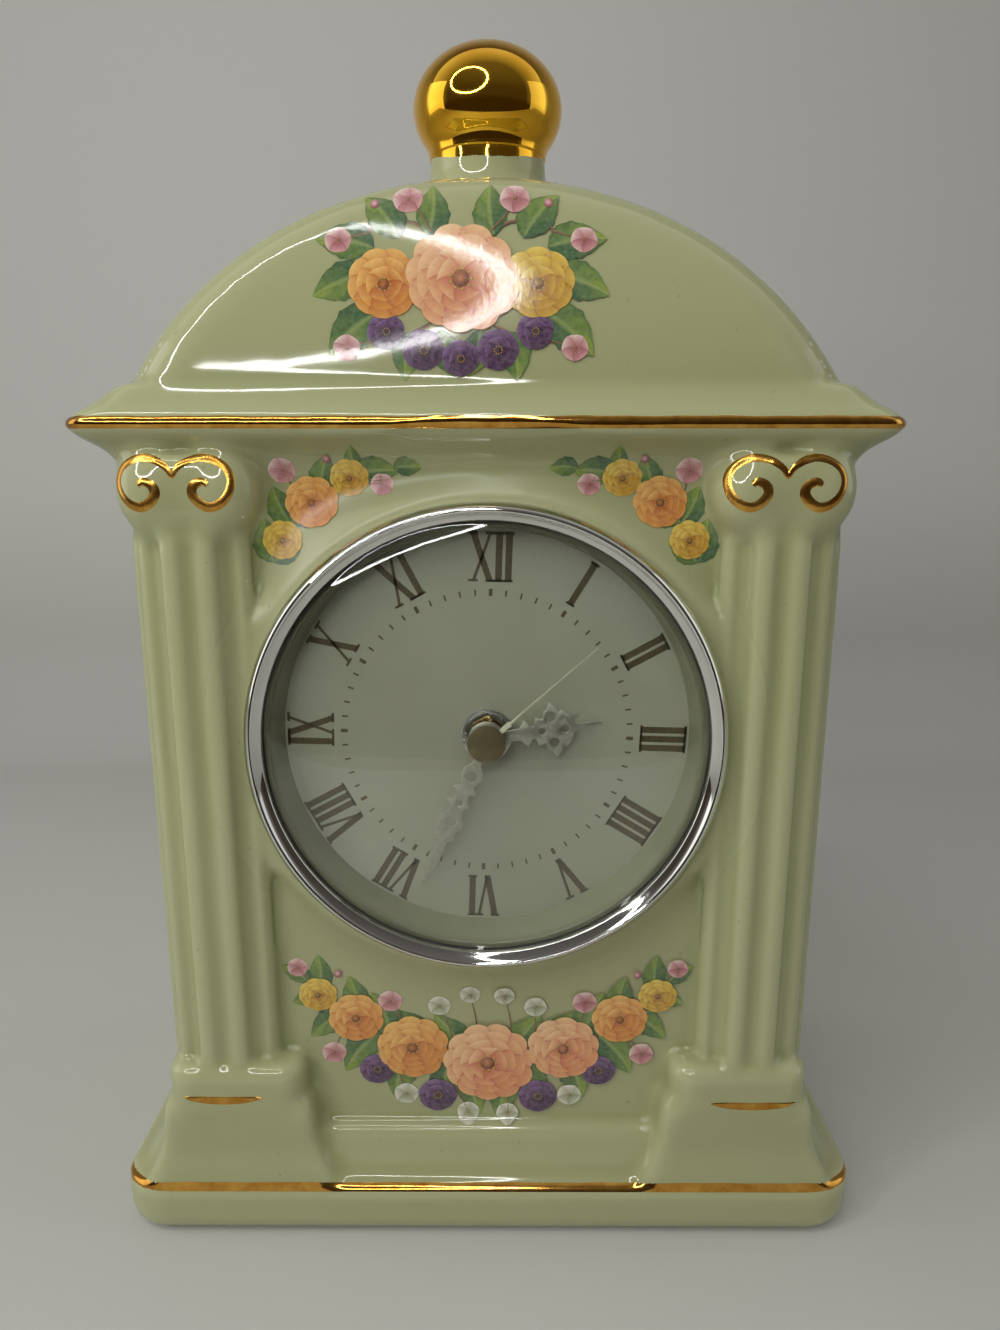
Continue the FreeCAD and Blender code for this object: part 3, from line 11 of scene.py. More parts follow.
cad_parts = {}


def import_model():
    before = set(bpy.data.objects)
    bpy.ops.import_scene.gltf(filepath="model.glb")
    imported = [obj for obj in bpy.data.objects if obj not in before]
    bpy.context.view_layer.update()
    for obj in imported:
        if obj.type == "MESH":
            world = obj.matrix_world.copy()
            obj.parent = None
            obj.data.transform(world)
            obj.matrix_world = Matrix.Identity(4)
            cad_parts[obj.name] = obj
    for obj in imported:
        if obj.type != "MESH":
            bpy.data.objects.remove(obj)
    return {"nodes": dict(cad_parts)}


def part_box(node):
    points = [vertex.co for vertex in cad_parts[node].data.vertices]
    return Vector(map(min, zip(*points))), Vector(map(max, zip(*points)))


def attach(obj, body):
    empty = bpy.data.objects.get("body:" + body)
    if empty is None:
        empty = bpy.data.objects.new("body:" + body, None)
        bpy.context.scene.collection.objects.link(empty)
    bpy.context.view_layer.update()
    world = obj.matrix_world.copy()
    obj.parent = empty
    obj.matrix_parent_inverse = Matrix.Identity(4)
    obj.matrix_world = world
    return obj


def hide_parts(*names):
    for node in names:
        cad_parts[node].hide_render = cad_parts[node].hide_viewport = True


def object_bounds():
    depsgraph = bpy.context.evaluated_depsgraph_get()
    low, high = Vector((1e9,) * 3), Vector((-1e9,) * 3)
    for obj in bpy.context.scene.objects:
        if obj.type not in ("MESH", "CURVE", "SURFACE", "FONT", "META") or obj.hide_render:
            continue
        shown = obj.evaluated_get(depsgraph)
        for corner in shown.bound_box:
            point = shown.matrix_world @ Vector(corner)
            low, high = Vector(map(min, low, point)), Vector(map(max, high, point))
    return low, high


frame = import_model()
cad_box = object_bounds()
nodes = frame["nodes"]

MM = 0.001
UP = Vector((0, 0, 1))
BACK = Vector((0, 1, 0))
CASE_VOXEL = 0.8 * MM
RAY_START = 60 * MM


# Places read from the frame

def middle(node):
    low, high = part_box(node)
    return (low + high) / 2


SEAT_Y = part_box("insert_cup")[0].y
DIAL_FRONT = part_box("dial")[0].y
AXIS_X = middle("bezel").x
AXIS_Z = middle("bezel").z
BASE_HALF_X = cad_box[1][0]
BASE_HALF_Y = cad_box[1][1]
BALL_HALF_HEIGHT = 11.4 * MM
# In mm: the neck, and the fillet of the ball on it, outwards from the neck and up from the ball's foot
NECK_RADIUS = 11.2
BALL_FILLET = ((-1.0, -1.2), (0.0, -1.2), (0.05, -0.7), (0.16, -0.1), (0.4, 0.6), (0.68, 1.1))


# Colours and materials

def tone(red, green, blue):
    """Linear colour from 0 to 255 display values."""
    linear = []
    for value in (red, green, blue):
        share = value / 255
        linear.append(share / 12.92 if share <= 0.04045 else ((share + 0.055) / 1.055) ** 2.4)
    return (*linear, 1.0)


class Nodes:
    """A node tree, with short calls for the nodes used here."""

    def __init__(self, tree):
        self.tree = tree

    def node(self, kind, inputs=None, **settings):
        made = self.tree.nodes.new(kind)
        for key, value in settings.items():
            setattr(made, key, value)
        for key, value in (inputs or {}).items():
            made.inputs[key].default_value = value
        return made

    def link(self, source, target):
        self.tree.links.new(source, target)

    def feed(self, socket, value):
        """Link a socket, or give it a constant."""
        if isinstance(value, bpy.types.NodeSocket):
            self.link(value, socket)
        else:
            socket.default_value = value

    def place(self, output="Object"):
        return self.node("ShaderNodeTexCoord").outputs[output]

    def along(self, axis, output="Object"):
        """The place along X, Y or Z."""
        split = self.node("ShaderNodeSeparateXYZ")
        self.link(self.place(output), split.inputs[0])
        return split.outputs[axis]

    def spread(self, source, low, high, to_low=0.0, to_high=1.0):
        limits = {"From Min": low, "From Max": high, "To Min": to_low, "To Max": to_high}
        made = self.node("ShaderNodeMapRange", limits)
        self.link(source, made.inputs["Value"])
        return made.outputs["Result"]

    def blend(self, factor, first, second):
        """A colour between two, each a tuple or a socket."""
        made = self.node("ShaderNodeMix", data_type="RGBA")
        self.link(factor, made.inputs["Factor"])
        self.feed(made.inputs[6], first)
        self.feed(made.inputs[7], second)
        return made.outputs[2]

    def mottled(self, source, first, second, low=0.35, high=0.7, most=1.0):
        """A colour that goes towards another as the source rises, at most by a share."""
        return self.blend(self.spread(source, low, high, 0.0, most), first, second)

    def sum(self, operation, first, second):
        made = self.node("ShaderNodeMath", operation=operation)
        self.feed(made.inputs[0], first)
        self.feed(made.inputs[1], second)
        return made.outputs["Value"]


class Paint(Nodes):
    """A material with one shader."""

    def __init__(self, name, base, roughness, metallic=0.0):
        self.material = bpy.data.materials.new(name)
        self.material.use_nodes = True
        super().__init__(self.material.node_tree)
        self.shader = self.tree.nodes["Principled BSDF"]
        self.set("Base Color", base)
        self.set("Roughness", roughness)
        self.set("Metallic", metallic)

    def set(self, socket, value):
        self.feed(self.shader.inputs[socket], value)

    def noise(self, scale, detail=3.0, rough=0.5, stretch=None):
        made = self.node("ShaderNodeTexNoise", {"Scale": scale, "Detail": detail, "Roughness": rough})
        source = self.place()
        if stretch:
            mapping = self.node("ShaderNodeMapping", {"Scale": stretch})
            self.link(source, mapping.inputs["Vector"])
            source = mapping.outputs["Vector"]
        self.link(source, made.inputs["Vector"])
        return made.outputs["Fac"]

    def attribute(self, name, output="Fac"):
        return self.node("ShaderNodeAttribute", attribute_name=name).outputs[output]

    def reach(self):
        """Distance from the dial's axis."""
        across = self.sum("SUBTRACT", self.along("X"), AXIS_X)
        up = self.sum("SUBTRACT", self.along("Z"), AXIS_Z)
        squares = self.sum("ADD", self.sum("MULTIPLY", across, across), self.sum("MULTIPLY", up, up))
        return self.sum("SQRT", squares, 0.0)

    def near_seat(self):
        """1 on the front round the insert, where the gloss is softer, fading to 0."""
        ring = self.spread(self.reach(), 50 * MM, 56 * MM, 1.0, 0.0)
        front = self.spread(self.along("Y"), -31 * MM, -29 * MM, 1.0, 0.0)
        return self.sum("MULTIPLY", ring, front)

    def colour(self, source):
        self.set("Base Color", source)

    def roughness(self, source, low, high):
        self.set("Roughness", self.spread(source, 0.3, 0.7, low, high))

    def bump(self, source, depth):
        made = self.node("ShaderNodeBump", {"Strength": 1.0, "Distance": depth})
        self.link(source, made.inputs["Height"])
        self.set("Normal", made.outputs["Normal"])


def glaze():
    """Celadon glaze, deeper where it pools and thinner over edges, with bare paste inside. The darker
    hollows and paler edges are partly painted shade and painted light.
    """
    paint = Paint("celadon_glaze", tone(166, 170, 124), 0.08)
    # Darker in hollows and paler over edges: partly glaze pooling, partly painted shade in the hollows and
    # painted light on the edges
    pooled_and_shaded = paint.mottled(paint.attribute("relief"), tone(142, 147, 98), tone(188, 190, 148), -1.0, 1.0)
    clouded = paint.mottled(paint.noise(34.0, 4.0), pooled_and_shaded, tone(174, 174, 132), 0.35, 0.65, 0.3)
    glazed = paint.mottled(paint.noise(700.0, 1.0), clouded, tone(120, 108, 70), 0.775, 0.79, 0.3)
    bare = paint.attribute("bisque")
    paint.colour(paint.blend(bare, glazed, tone(205, 200, 184)))
    softer = paint.sum("MULTIPLY", paint.near_seat(), 0.24)
    paint.set("Roughness", paint.sum("ADD", paint.spread(bare, 0.0, 1.0, 0.07, 0.75), softer))
    paint.bump(paint.noise(48.0, 2.0), 0.00018)
    paint.set("Subsurface Weight", 0.06)
    paint.set("Subsurface Radius", (0.9, 1.0, 0.6))
    paint.set("Subsurface Scale", 1.5 * MM)
    return paint.material


def gold_lustre(name, shine):
    """Fired bright gold, brushed on thin, so it mottles a little."""
    paint = Paint(name, tone(212, 160, 76), shine, 1.0)
    paint.colour(paint.mottled(paint.noise(300.0, 3.0, 0.6), tone(222, 172, 84), tone(186, 128, 50)))
    paint.roughness(paint.noise(220.0, 3.0), shine, 1.5 * shine)
    return paint.material


def ball_gold():
    """Mirror gold, a little deeper in places."""
    paint = Paint("ball_gold", tone(232, 166, 44), 0.04, 1.0)
    paint.colour(paint.mottled(paint.noise(120.0), tone(252, 198, 62), tone(238, 174, 42)))
    paint.roughness(paint.noise(90.0, 2.0), 0.035, 0.07)
    paint.bump(paint.noise(60.0, 2.0), 0.0001)
    return paint.material


def chrome():
    paint = Paint("bright_chrome", tone(226, 226, 224), 0.05, 1.0)
    haze = paint.noise(60.0, 2.0)
    paint.colour(paint.mottled(haze, tone(226, 226, 222), tone(212, 211, 206), 0.4))
    paint.roughness(haze, 0.04, 0.07)
    return paint.material


def clear_lens():
    """Clear domed lens that lets the lamps through to the dial."""
    paint = Paint("clear_lens", tone(250, 252, 248), 0.0)
    paint.set("Transmission Weight", 1.0)
    paint.set("IOR", 1.47)
    clear = paint.node("ShaderNodeBsdfTransparent", {"Color": tone(248, 250, 246)})
    mixed = paint.node("ShaderNodeMixShader")
    paint.link(paint.node("ShaderNodeLightPath").outputs["Is Shadow Ray"], mixed.inputs[0])
    paint.link(paint.shader.outputs[0], mixed.inputs[1])
    paint.link(clear.outputs[0], mixed.inputs[2])
    paint.link(mixed.outputs[0], paint.tree.nodes["Material Output"].inputs["Surface"])
    return paint.material


def dial_silver():
    """Silvered dial with a soft sheen and hardly any grain."""
    paint = Paint("dial_silver", tone(148, 147, 129), 0.4, 0.25)
    silver = paint.mottled(paint.noise(26.0, 2.0), tone(134, 134, 117), tone(147, 147, 133), high=0.65)
    grain = paint.noise(1100.0, 2.0)
    paint.colour(paint.mottled(grain, silver, tone(134, 132, 116), 0.3, 0.7, 0.15))
    paint.roughness(grain, 0.36, 0.44)
    return paint.material


def print_bronze():
    paint = Paint("print_bronze", tone(90, 80, 54), 0.4, 0.3)
    paint.colour(paint.mottled(paint.noise(1500.0), tone(70, 62, 42), tone(86, 76, 54)))
    return paint.material


def ring_lacquer():
    """Inner ring: a darker lip under the lens, then a plain slope down to the dial."""
    paint = Paint("ring_lacquer", tone(78, 72, 60), 0.35)
    lip = paint.spread(paint.along("Y"), SEAT_Y + 0.3 * MM, SEAT_Y + 1.8 * MM)
    slope = paint.mottled(paint.noise(240.0, 2.0), tone(110, 111, 90), tone(105, 106, 85), 0.3)
    paint.colour(paint.blend(lip, tone(88, 88, 68), slope))
    return paint.material


def hand_silver(name, bright, dull, rough):
    paint = Paint(name, bright, rough, 1.0)
    grain = paint.noise(900.0, 3.0, 0.6)
    paint.colour(paint.mottled(grain, bright, dull))
    paint.roughness(grain, rough, rough + 0.12)
    paint.bump(grain, 0.000006)
    return paint.material


def second_finish():
    """Polished cap coloured brown as a painted reflection of the dark room, with a pale painted stub and
    needle.
    """
    paint = Paint("second_paint", tone(204, 203, 190), 0.35)
    reach = paint.reach()
    cap = paint.spread(reach, 3.52 * MM, 3.56 * MM, 1.0, 0.0)
    needle = paint.spread(reach, 6.5 * MM, 9.5 * MM)
    haze = paint.noise(500.0)
    # The cap's brown is a painted reflection: it stands in for the dark brown room mirrored in a polished
    # cap
    brown = paint.mottled(haze, tone(106, 95, 70), tone(94, 84, 60))
    stub = paint.mottled(haze, tone(176, 174, 156), tone(164, 162, 144))
    pale = paint.blend(needle, stub, tone(146, 146, 126))
    paint.colour(paint.blend(cap, pale, brown))
    paint.set("Metallic", paint.spread(cap, 0.0, 1.0, 0.0, 0.5))
    paint.set("Roughness", paint.spread(cap, 0.0, 1.0, 0.4, 0.24))
    return paint.material


def moulded(name, base, worn, rough, grain=1400.0, depth=0.00002):
    """Moulded plastic or rubber with a fine spark-eroded grain."""
    paint = Paint(name, base, rough)
    speckle = paint.noise(grain, 3.0, 0.6)
    paint.colour(paint.mottled(paint.noise(60.0), base, worn))
    paint.roughness(speckle, rough - 0.08, rough + 0.08)
    paint.bump(speckle, depth)
    return paint.material


def metal(name, base, dull, rough, stretch=None, scale=600.0):
    """Worked metal with a drawn or turned grain."""
    paint = Paint(name, base, rough, 1.0)
    grain = paint.noise(scale, 4.0, 0.6, stretch)
    paint.colour(paint.mottled(grain, base, dull))
    paint.roughness(grain, rough - 0.06, rough + 0.1)
    paint.bump(grain, 0.000008)
    return paint.material


def transfer():
    """Fired transfer colours, under the same gloss as the glaze."""
    paint = Paint("fired_transfer", tone(200, 200, 180), 0.1)
    tint = paint.attribute("tint", "Color")
    paint.colour(paint.mottled(paint.noise(1300.0, 3.0, 0.6), tint, tone(236, 230, 204), 0.3, 0.7, 0.1))
    paint.set("Roughness", paint.spread(paint.near_seat(), 0.0, 1.0, 0.1, 0.32))
    paint.bump(paint.noise(900.0, 2.0), 0.000012)
    return paint.material


def sweep_paper():
    """Matt paper, a little paler up the wall than on the floor; the paler wall is painted light."""
    paint = Paint("sweep_paper", tone(190, 190, 184), 0.75)
    floor = paint.mottled(paint.noise(3.0), tone(190, 190, 184), tone(196, 196, 191), 0.3)
    # Painted light: the wall's paler tone stands in for the wall being lit brighter than the floor
    paint.colour(paint.blend(paint.spread(paint.along("Z"), 0.02, 0.14), floor, tone(218, 218, 213)))
    return paint.material


# Mesh helpers

def put(name, data):
    """A new object in the scene."""
    item = bpy.data.objects.new(name, data)
    bpy.context.scene.collection.objects.link(item)
    return item


def coat(mesh, material):
    mesh.materials.clear()
    mesh.materials.append(material)


def made(name, mesh, body, material, slot=None, sharp=None):
    """Put a finished mesh into the scene, on its body."""
    item = put(name, mesh)
    coat(mesh, material)
    mesh.shade_smooth()
    if sharp:
        mesh.set_sharp_from_angle(angle=math.radians(sharp))
    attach(item, body)
    return item


def baked(item):
    """The mesh of an object with its modifiers applied, in place of the object."""
    graph = bpy.context.evaluated_depsgraph_get()
    mesh = bpy.data.meshes.new_from_object(item.evaluated_get(graph))
    bpy.data.objects.remove(item)
    return mesh


def rows_of(items, key, width, kind=np.float64):
    """One property of all items of a mesh, a row for each."""
    values = np.empty(len(items) * width, kind)
    items.foreach_get(key, values)
    return values.reshape(-1, width)


def store(mesh, name, kind, key, values):
    """Keep values with the points of a mesh."""
    mesh.attributes.new(name, kind, "POINT").data.foreach_set(key, values)


def mesh_of(name, points, faces, outward=True):
    mesh = bpy.data.meshes.new(name)
    mesh.from_pydata([tuple(point) for point in points], [], faces)
    if outward:
        shape = bmesh.new()
        shape.from_mesh(mesh)
        bmesh.ops.recalc_face_normals(shape, faces=shape.faces)
        shape.to_mesh(mesh)
        shape.free()
    mesh.update()
    return mesh


def strips(count, width, start=0):
    """Faces between rows of points, each row as long as the width."""
    faces = []
    for row in range(count - 1):
        for column in range(width - 1):
            first = start + row * width + column
            faces.append((first, first + 1, first + width + 1, first + width))
    return faces


def lathe(name, profile, segments, centre=None):
    """Turn (radius, height) points about the dial's axis, or about a vertical line at a centre."""
    points = []
    for radius, height in profile:
        for step in range(segments):
            turn = 2 * math.pi * step / segments
            across, along = radius * math.cos(turn), radius * math.sin(turn)
            if centre is None:
                points.append((AXIS_X + across, SEAT_Y - height, AXIS_Z + along))
            else:
                points.append((centre[0] + across, centre[1] + along, height))
    faces = []
    for ring in range(len(profile)):
        here = ring * segments
        there = (ring + 1) % len(profile) * segments
        for step in range(segments):
            after = (step + 1) % segments
            faces.append((here + step, here + after, there + after, there + step))
    return mesh_of(name, points, faces)


def arc_points(start, end, radius, left, count):
    """Points along the short arc from start to end, end included."""
    begin, finish = Vector(start), Vector(end)
    across = finish - begin
    reach = math.sqrt(max(radius ** 2 - (across.length / 2) ** 2, 0))
    normal = Vector((-across.y, across.x)).normalized()
    centre = (begin + finish) / 2 + normal * (reach if left else -reach)
    first = math.atan2(begin.y - centre.y, begin.x - centre.x)
    last = math.atan2(finish.y - centre.y, finish.x - centre.x)
    sweep = (last - first + math.pi) % (2 * math.pi) - math.pi
    return [(centre.x + radius * math.cos(first + sweep * step / count),
             centre.y + radius * math.sin(first + sweep * step / count)) for step in range(1, count + 1)]


def smooth_path(points, steps):
    """A Catmull-Rom curve through points, as tuples of any length."""
    spots = [np.array(point, float) for point in points]
    ends = [2 * spots[0] - spots[1]] + spots + [2 * spots[-1] - spots[-2]]
    path = []
    for index in range(1, len(ends) - 2):
        before, start, end, after = ends[index - 1:index + 3]
        for step in range(steps):
            t = step / steps
            slope = end - before
            bend = 2 * before - 5 * start + 4 * end - after
            twist = 3 * start - before - 3 * end + after
            path.append(0.5 * (2 * start + slope * t + bend * t ** 2 + twist * t ** 3))
    path.append(spots[-1])
    return path


# The glazed case. Sizes here are in mm: where the barrel of the top and its leaning faces are struck from,
# and the radius halfway through the wall of each.
BARREL_CENTRE = 129.3
BARREL_WALL = 69.9
ARCH_FOOT = 165.0
FACE_OFFSET = 33.9
FACE_WALL = 66.9
# Where the glaze has rounded the edges most: heights of the capitals, the feet and the neck, how far out
# the columns begin, and the band round the seat
CAPITALS = (140, 157.5)
FEET = (11, 29)
NECK = (196, 209)
BESIDE = (29, 90)
SEAT_BAND = (46.6, 57)
# Halfway through the case's straight walls, its floor and the foot of its top
HOLLOW_X = (-59, 59)
HOLLOW_Y = (-28.6, 33.0)
HOLLOW_Z = (5.6, 166)


def relax(places, edges, weights, rounds):
    """Even out a surface, more where the weights are larger."""
    count = len(places)
    degree = np.bincount(edges.ravel(), minlength=count)[:, None]
    for _ in range(rounds):
        total = np.empty_like(places)
        for axis in range(places.shape[1]):
            column = places[:, axis]
            total[:, axis] = (np.bincount(edges[:, 0], column[edges[:, 1]], count)
                              + np.bincount(edges[:, 1], column[edges[:, 0]], count))
        places = places + weights * (total / np.maximum(degree, 1) - places)
    return places


def within(values, low, high, soft):
    """1 between low and high, fading over the soft distance."""
    return np.clip((values - low) / soft + 0.5, 0, 1) * np.clip((high - values) / soft + 0.5, 0, 1)


def glazed_case():
    """The case as one skin with the soft edges that slip casting and glaze leave."""
    blank = put("case_blank", nodes["porcelain_case"].data.copy())
    remesh = blank.modifiers.new("skin", "REMESH")
    remesh.mode = "VOXEL"
    remesh.voxel_size = CASE_VOXEL
    mesh = baked(blank)
    places = rows_of(mesh.vertices, "co", 3)
    edges = rows_of(mesh.edges, "vertices", 2, np.int32)
    x, y, z = (places[:, axis] / MM for axis in range(3))
    everywhere = np.full((len(places), 1), 0.5)
    places = relax(places, edges, everywhere, 4)
    capitals = within(z, *CAPITALS, 3) * within(np.abs(x), *BESIDE, 3) * within(y, -60, -8, 3)
    feet = within(z, *FEET, 2)
    neck = within(z, *NECK, 2)
    soft = np.clip(0.9 * capitals + 0.22 * feet + 0.7 * neck, 0, 0.6)[:, None]
    places = relax(places, edges, soft, 12)
    seat = within(np.hypot(x, z - AXIS_Z / MM), *SEAT_BAND, 2)
    ring = seat * within(x, -39, 39, 3) * within(y, -60, -26, 2)
    places = relax(places, edges, 0.6 * ring[:, None], 60)
    mesh.vertices.foreach_set("co", places.ravel())
    mesh.update()
    # How far the surface bends in or out, kept as relief: the glaze colours it for pooling, and also as
    # painted shade in hollows and painted light over edges
    normals = rows_of(mesh.vertex_normals, "vector", 3)
    settled = relax(places, edges, everywhere, 6)
    bend = ((places - settled) * normals).sum(1, keepdims=True) / (0.25 * MM)
    bend = relax(bend, edges, everywhere, 3)
    store(mesh, "relief", "FLOAT", "value", np.clip(bend, -1, 1).ravel())
    x, y, z = (places[:, axis] / MM for axis in range(3))
    inside = within(x, *HOLLOW_X, 0.6) * within(y, *HOLLOW_Y, 0.6) * within(z, *HOLLOW_Z, 0.6)
    barrel = np.hypot(x, z - BARREL_CENTRE) < BARREL_WALL
    leaning = np.hypot(np.abs(y) + FACE_OFFSET, np.maximum(z - ARCH_FOOT, 0)) < FACE_WALL
    inside = np.maximum(inside, barrel * leaning * (z > 158))
    foot = within(z, -2, 0.45, 0.2)
    store(mesh, "bisque", "FLOAT", "value", np.clip(inside + foot, 0, 1))
    item = made("glazed_case", mesh, "case", glaze(), "glaze")
    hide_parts("porcelain_case")
    return item


def skin_of(item):
    """Look-up of the case's surface for what is painted on it."""
    mesh = item.data
    places = [vertex.co.copy() for vertex in mesh.vertices]
    polygons = [tuple(polygon.vertices) for polygon in mesh.polygons]
    return BVHTree.FromPolygons(places, polygons)


def finial(skin):
    """The gilt ball, its small fillet at the neck, and the gold run down the neck's front."""
    low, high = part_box("finial_ball")
    axis = ((low.x + high.x) / 2, (low.y + high.y) / 2)
    half_width = (high.x - low.x) / 2
    centre = high.z - BALL_HALF_HEIGHT
    start = math.asin((low.z + 1.6 * MM - centre) / BALL_HALF_HEIGHT)
    profile = [((NECK_RADIUS + reach) * MM, low.z + height * MM) for reach, height in BALL_FILLET]
    for step in range(97):
        angle = start + (math.pi / 2 - start) * step / 96
        radius = max(half_width * math.cos(angle), 0.02 * MM)
        profile.append((radius, centre + BALL_HALF_HEIGHT * math.sin(angle)))
    gold = ball_gold()
    item = made("gilt_ball", lathe("gilt_ball", profile, 192, axis), "case", gold, "gilt")
    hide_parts("finial_ball")
    rows = []
    for step in range(61):
        turn = math.pi * step / 60
        out = Vector((-math.cos(turn), -math.sin(turn), 0))
        drop = (0.5 + 2.9 * math.sin(turn) + 0.1 * math.sin(step * 0.4)) * MM
        spot = Vector((axis[0], axis[1], low.z - 0.1 * MM)) + out * NECK_RADIUS * MM
        rows.append(([spot - UP * drop * column / 8 for column in range(9)], -out))
    laid_on(skin, "neck_gilding", rows, 0.05 * MM, gold)


# Gilding

def laid_on(skin, name, rows, lift, gold):
    """A thin gilt film on the case. Each row is (places, ray): places are cast along the ray."""
    points = []
    width = len(rows[0][0])
    for places, ray in rows:
        for index, place in enumerate(places):
            hit, normal, _, _ = skin.ray_cast(place - ray * RAY_START, ray, 2 * RAY_START)
            if hit is None:
                hit, normal = place, -ray
            across = 2 * index / (width - 1) - 1
            points.append(hit + normal * (lift * (1.15 - across ** 2) - 0.02 * MM))
    mesh = mesh_of(name, points, strips(len(rows), width), outward=False)
    made(name, mesh, "case", gold, "gilt")


def round_corner(centre, radius, start):
    """A quarter turn round a corner's centre, as (point, outward)."""
    walk = []
    for step in range(13):
        turn = start + math.pi / 2 * step / 12
        out = Vector((math.cos(turn), math.sin(turn), 0))
        walk.append((centre + out * radius, out))
    return walk


def cornered(half_x, half_y, corner, back, spacing):
    """Walk round the left side, the front and the right side of a rounded plan, as (point, outward)."""
    walk = []
    inner_x, inner_y = half_x - corner, half_y - corner
    side = int((inner_y + back) / spacing)
    for step in range(side):
        walk.append((Vector((-half_x, back - (inner_y + back) * step / side, 0)), Vector((-1, 0, 0))))
    walk += round_corner(Vector((-inner_x, -inner_y, 0)), corner, math.pi)
    front = int(2 * inner_x / spacing)
    for step in range(1, front):
        walk.append((Vector((-inner_x + 2 * inner_x * step / front, -half_y, 0)), Vector((0, -1, 0))))
    walk += round_corner(Vector((inner_x, -inner_y, 0)), corner, 1.5 * math.pi)
    for step in range(1, side + 1):
        walk.append((Vector((half_x, -inner_y + (inner_y + back) * step / side, 0)), Vector((1, 0, 0))))
    return walk


def line_across(centre, across, half):
    """Places across a gilt line, from one edge to the other."""
    return [centre + across * half * (column / 3 - 1) for column in range(7)]


def heading(path, index):
    """Direction of a path of (x, z, ...) points at one of them."""
    before = path[max(index - 1, 0)]
    after = path[min(index + 1, len(path) - 1)]
    return Vector((after[0] - before[0], after[1] - before[1])).normalized()


def edge_line(skin, name, walk, height, half_width, slope, gold, lift):
    """A gilt line along a moulding. Slope tips the ray down towards the moulding."""
    rows = []
    count = len(walk)
    for index, (spot, out) in enumerate(walk):
        waver = 0.05 * math.sin(index * 0.37) + 0.04 * math.sin(index * 0.91 + 1)
        taper = min(1, 0.15 + 6 * min(index, count - 1 - index) / count)
        facing = max(0.0, -out.y)
        tip = slope * facing
        ray = (-out * math.cos(tip) - UP * math.sin(tip)).normalized()
        across = (UP * math.cos(tip) - out * math.sin(tip)).normalized()
        centre = spot + UP * (height + waver * 0.5 * MM - slope * (1 - facing) * 2.4 * MM)
        reach = half_width * taper * (1 + 0.5 * waver)
        rows.append((line_across(centre, across, reach), ray))
    laid_on(skin, name, rows, lift, gold)


def brushed_line(skin, name, path, gold):
    """A gilt brush line on the front. Each point is (x, z, half width)."""
    rows = []
    for index, (x, z, half) in enumerate(path):
        along = heading(path, index)
        rows.append((line_across(Vector((x, 0, z)), Vector((-along.y, 0, along.x)), half), BACK))
    laid_on(skin, name, rows, 0.14 * MM, gold)


# The gilt edge lines: half widths and corner radius of the plan, then the line's height and half width
CORNICE_PLAN = (71.2 * MM, 40 * MM, 5 * MM)
CORNICE_LINE = (159.4 * MM, 1.0 * MM)
BASE_PLAN = (BASE_HALF_X - 1.0 * MM, BASE_HALF_Y - 1.0 * MM, 9 * MM)
BASE_LINE = (10.7 * MM, 0.85 * MM)
LINE_BACK = 36 * MM
LINE_STEP = 1.2 * MM
# One volute of the gilt scroll, from the cusp over the top and round into its curl: shares of its width,
# outwards from the cusp, and of its height above the lowest point, then the line's width.
SCROLL_SHARES = ((0.0, 0.62, 0.75), (0.10, 0.80, 0.9), (0.28, 0.94, 1.05), (0.50, 1.0, 1.1),
                 (0.72, 0.95, 1.05), (0.91, 0.80, 1.0), (1.0, 0.56, 1.0), (0.95, 0.28, 1.1),
                 (0.79, 0.07, 1.25), (0.59, 0.0, 1.35), (0.42, 0.10, 1.4), (0.32, 0.28, 1.4),
                 (0.36, 0.44, 1.3), (0.50, 0.52, 1.15), (0.60, 0.46, 0.8))
SCROLL_FOOT = 145.5
SCROLL_WIDTH = 9.7
SCROLL_HEIGHT = 8.2
SCROLL_LINE = 0.62
# Each side's scroll and pedestal stroke: the cusp, the stroke's ends, and its height, in mm
SCROLLS = (("left", -52.4, -59.4, -44.3, 31.3), ("right", 50.6, 43.9, 60.5, 30.2))


def gilding(skin):
    gold = gold_lustre("line_gold", 0.09)
    brushed = gold_lustre("brushed_gold", 0.2)
    cornice = cornered(*CORNICE_PLAN, LINE_BACK, LINE_STEP)
    edge_line(skin, "cornice_gilding", cornice, *CORNICE_LINE, 0.0, gold, 0.24 * MM)
    base = cornered(*BASE_PLAN, LINE_BACK, LINE_STEP)
    edge_line(skin, "base_gilding", base, *BASE_LINE, math.radians(40), gold, 0.1 * MM)
    for name, cusp, low, high, height in SCROLLS:
        path = []
        for turn in (-1, 1):
            points = []
            for across, up, width in SCROLL_SHARES:
                x = (cusp + turn * across * SCROLL_WIDTH) * MM
                z = (SCROLL_FOOT + up * SCROLL_HEIGHT) * MM
                points.append((x, z, SCROLL_LINE * MM * width))
            path.append(smooth_path(points, 8))
        brushed_line(skin, f"{name}_scroll_gilding", path[0][::-1] + path[1][1:], brushed)
        middle_x, half = (low + high) / 2, (high - low) / 2
        stroke = []
        for share in (-1, -0.8, -0.5, -0.2, 0.2, 0.5, 0.8, 1):
            sag = 0.6 * (1 - share ** 2)
            thick = 0.85 * (1 - abs(share) ** 3 * 0.8)
            stroke.append(((middle_x + share * half) * MM, (height - sag) * MM, thick * MM))
        brushed_line(skin, f"{name}_pedestal_gilding", smooth_path(stroke, 6), brushed)


# Transfers: flat flowers and leaves drawn in the front plan, in mm, then cast on the case

LEAF_DARK = (44, 84, 62)
LEAF_LIGHT = (140, 158, 60)
LEAF_RIB = (176, 184, 104)
LEAF_EDGE = (34, 62, 48)
TWIG = (88, 60, 44)
TWIG_LIGHT = (150, 118, 86)
SEED = (150, 104, 36)
SEED_LIGHT = (242, 216, 120)
HEART = (60, 40, 20)
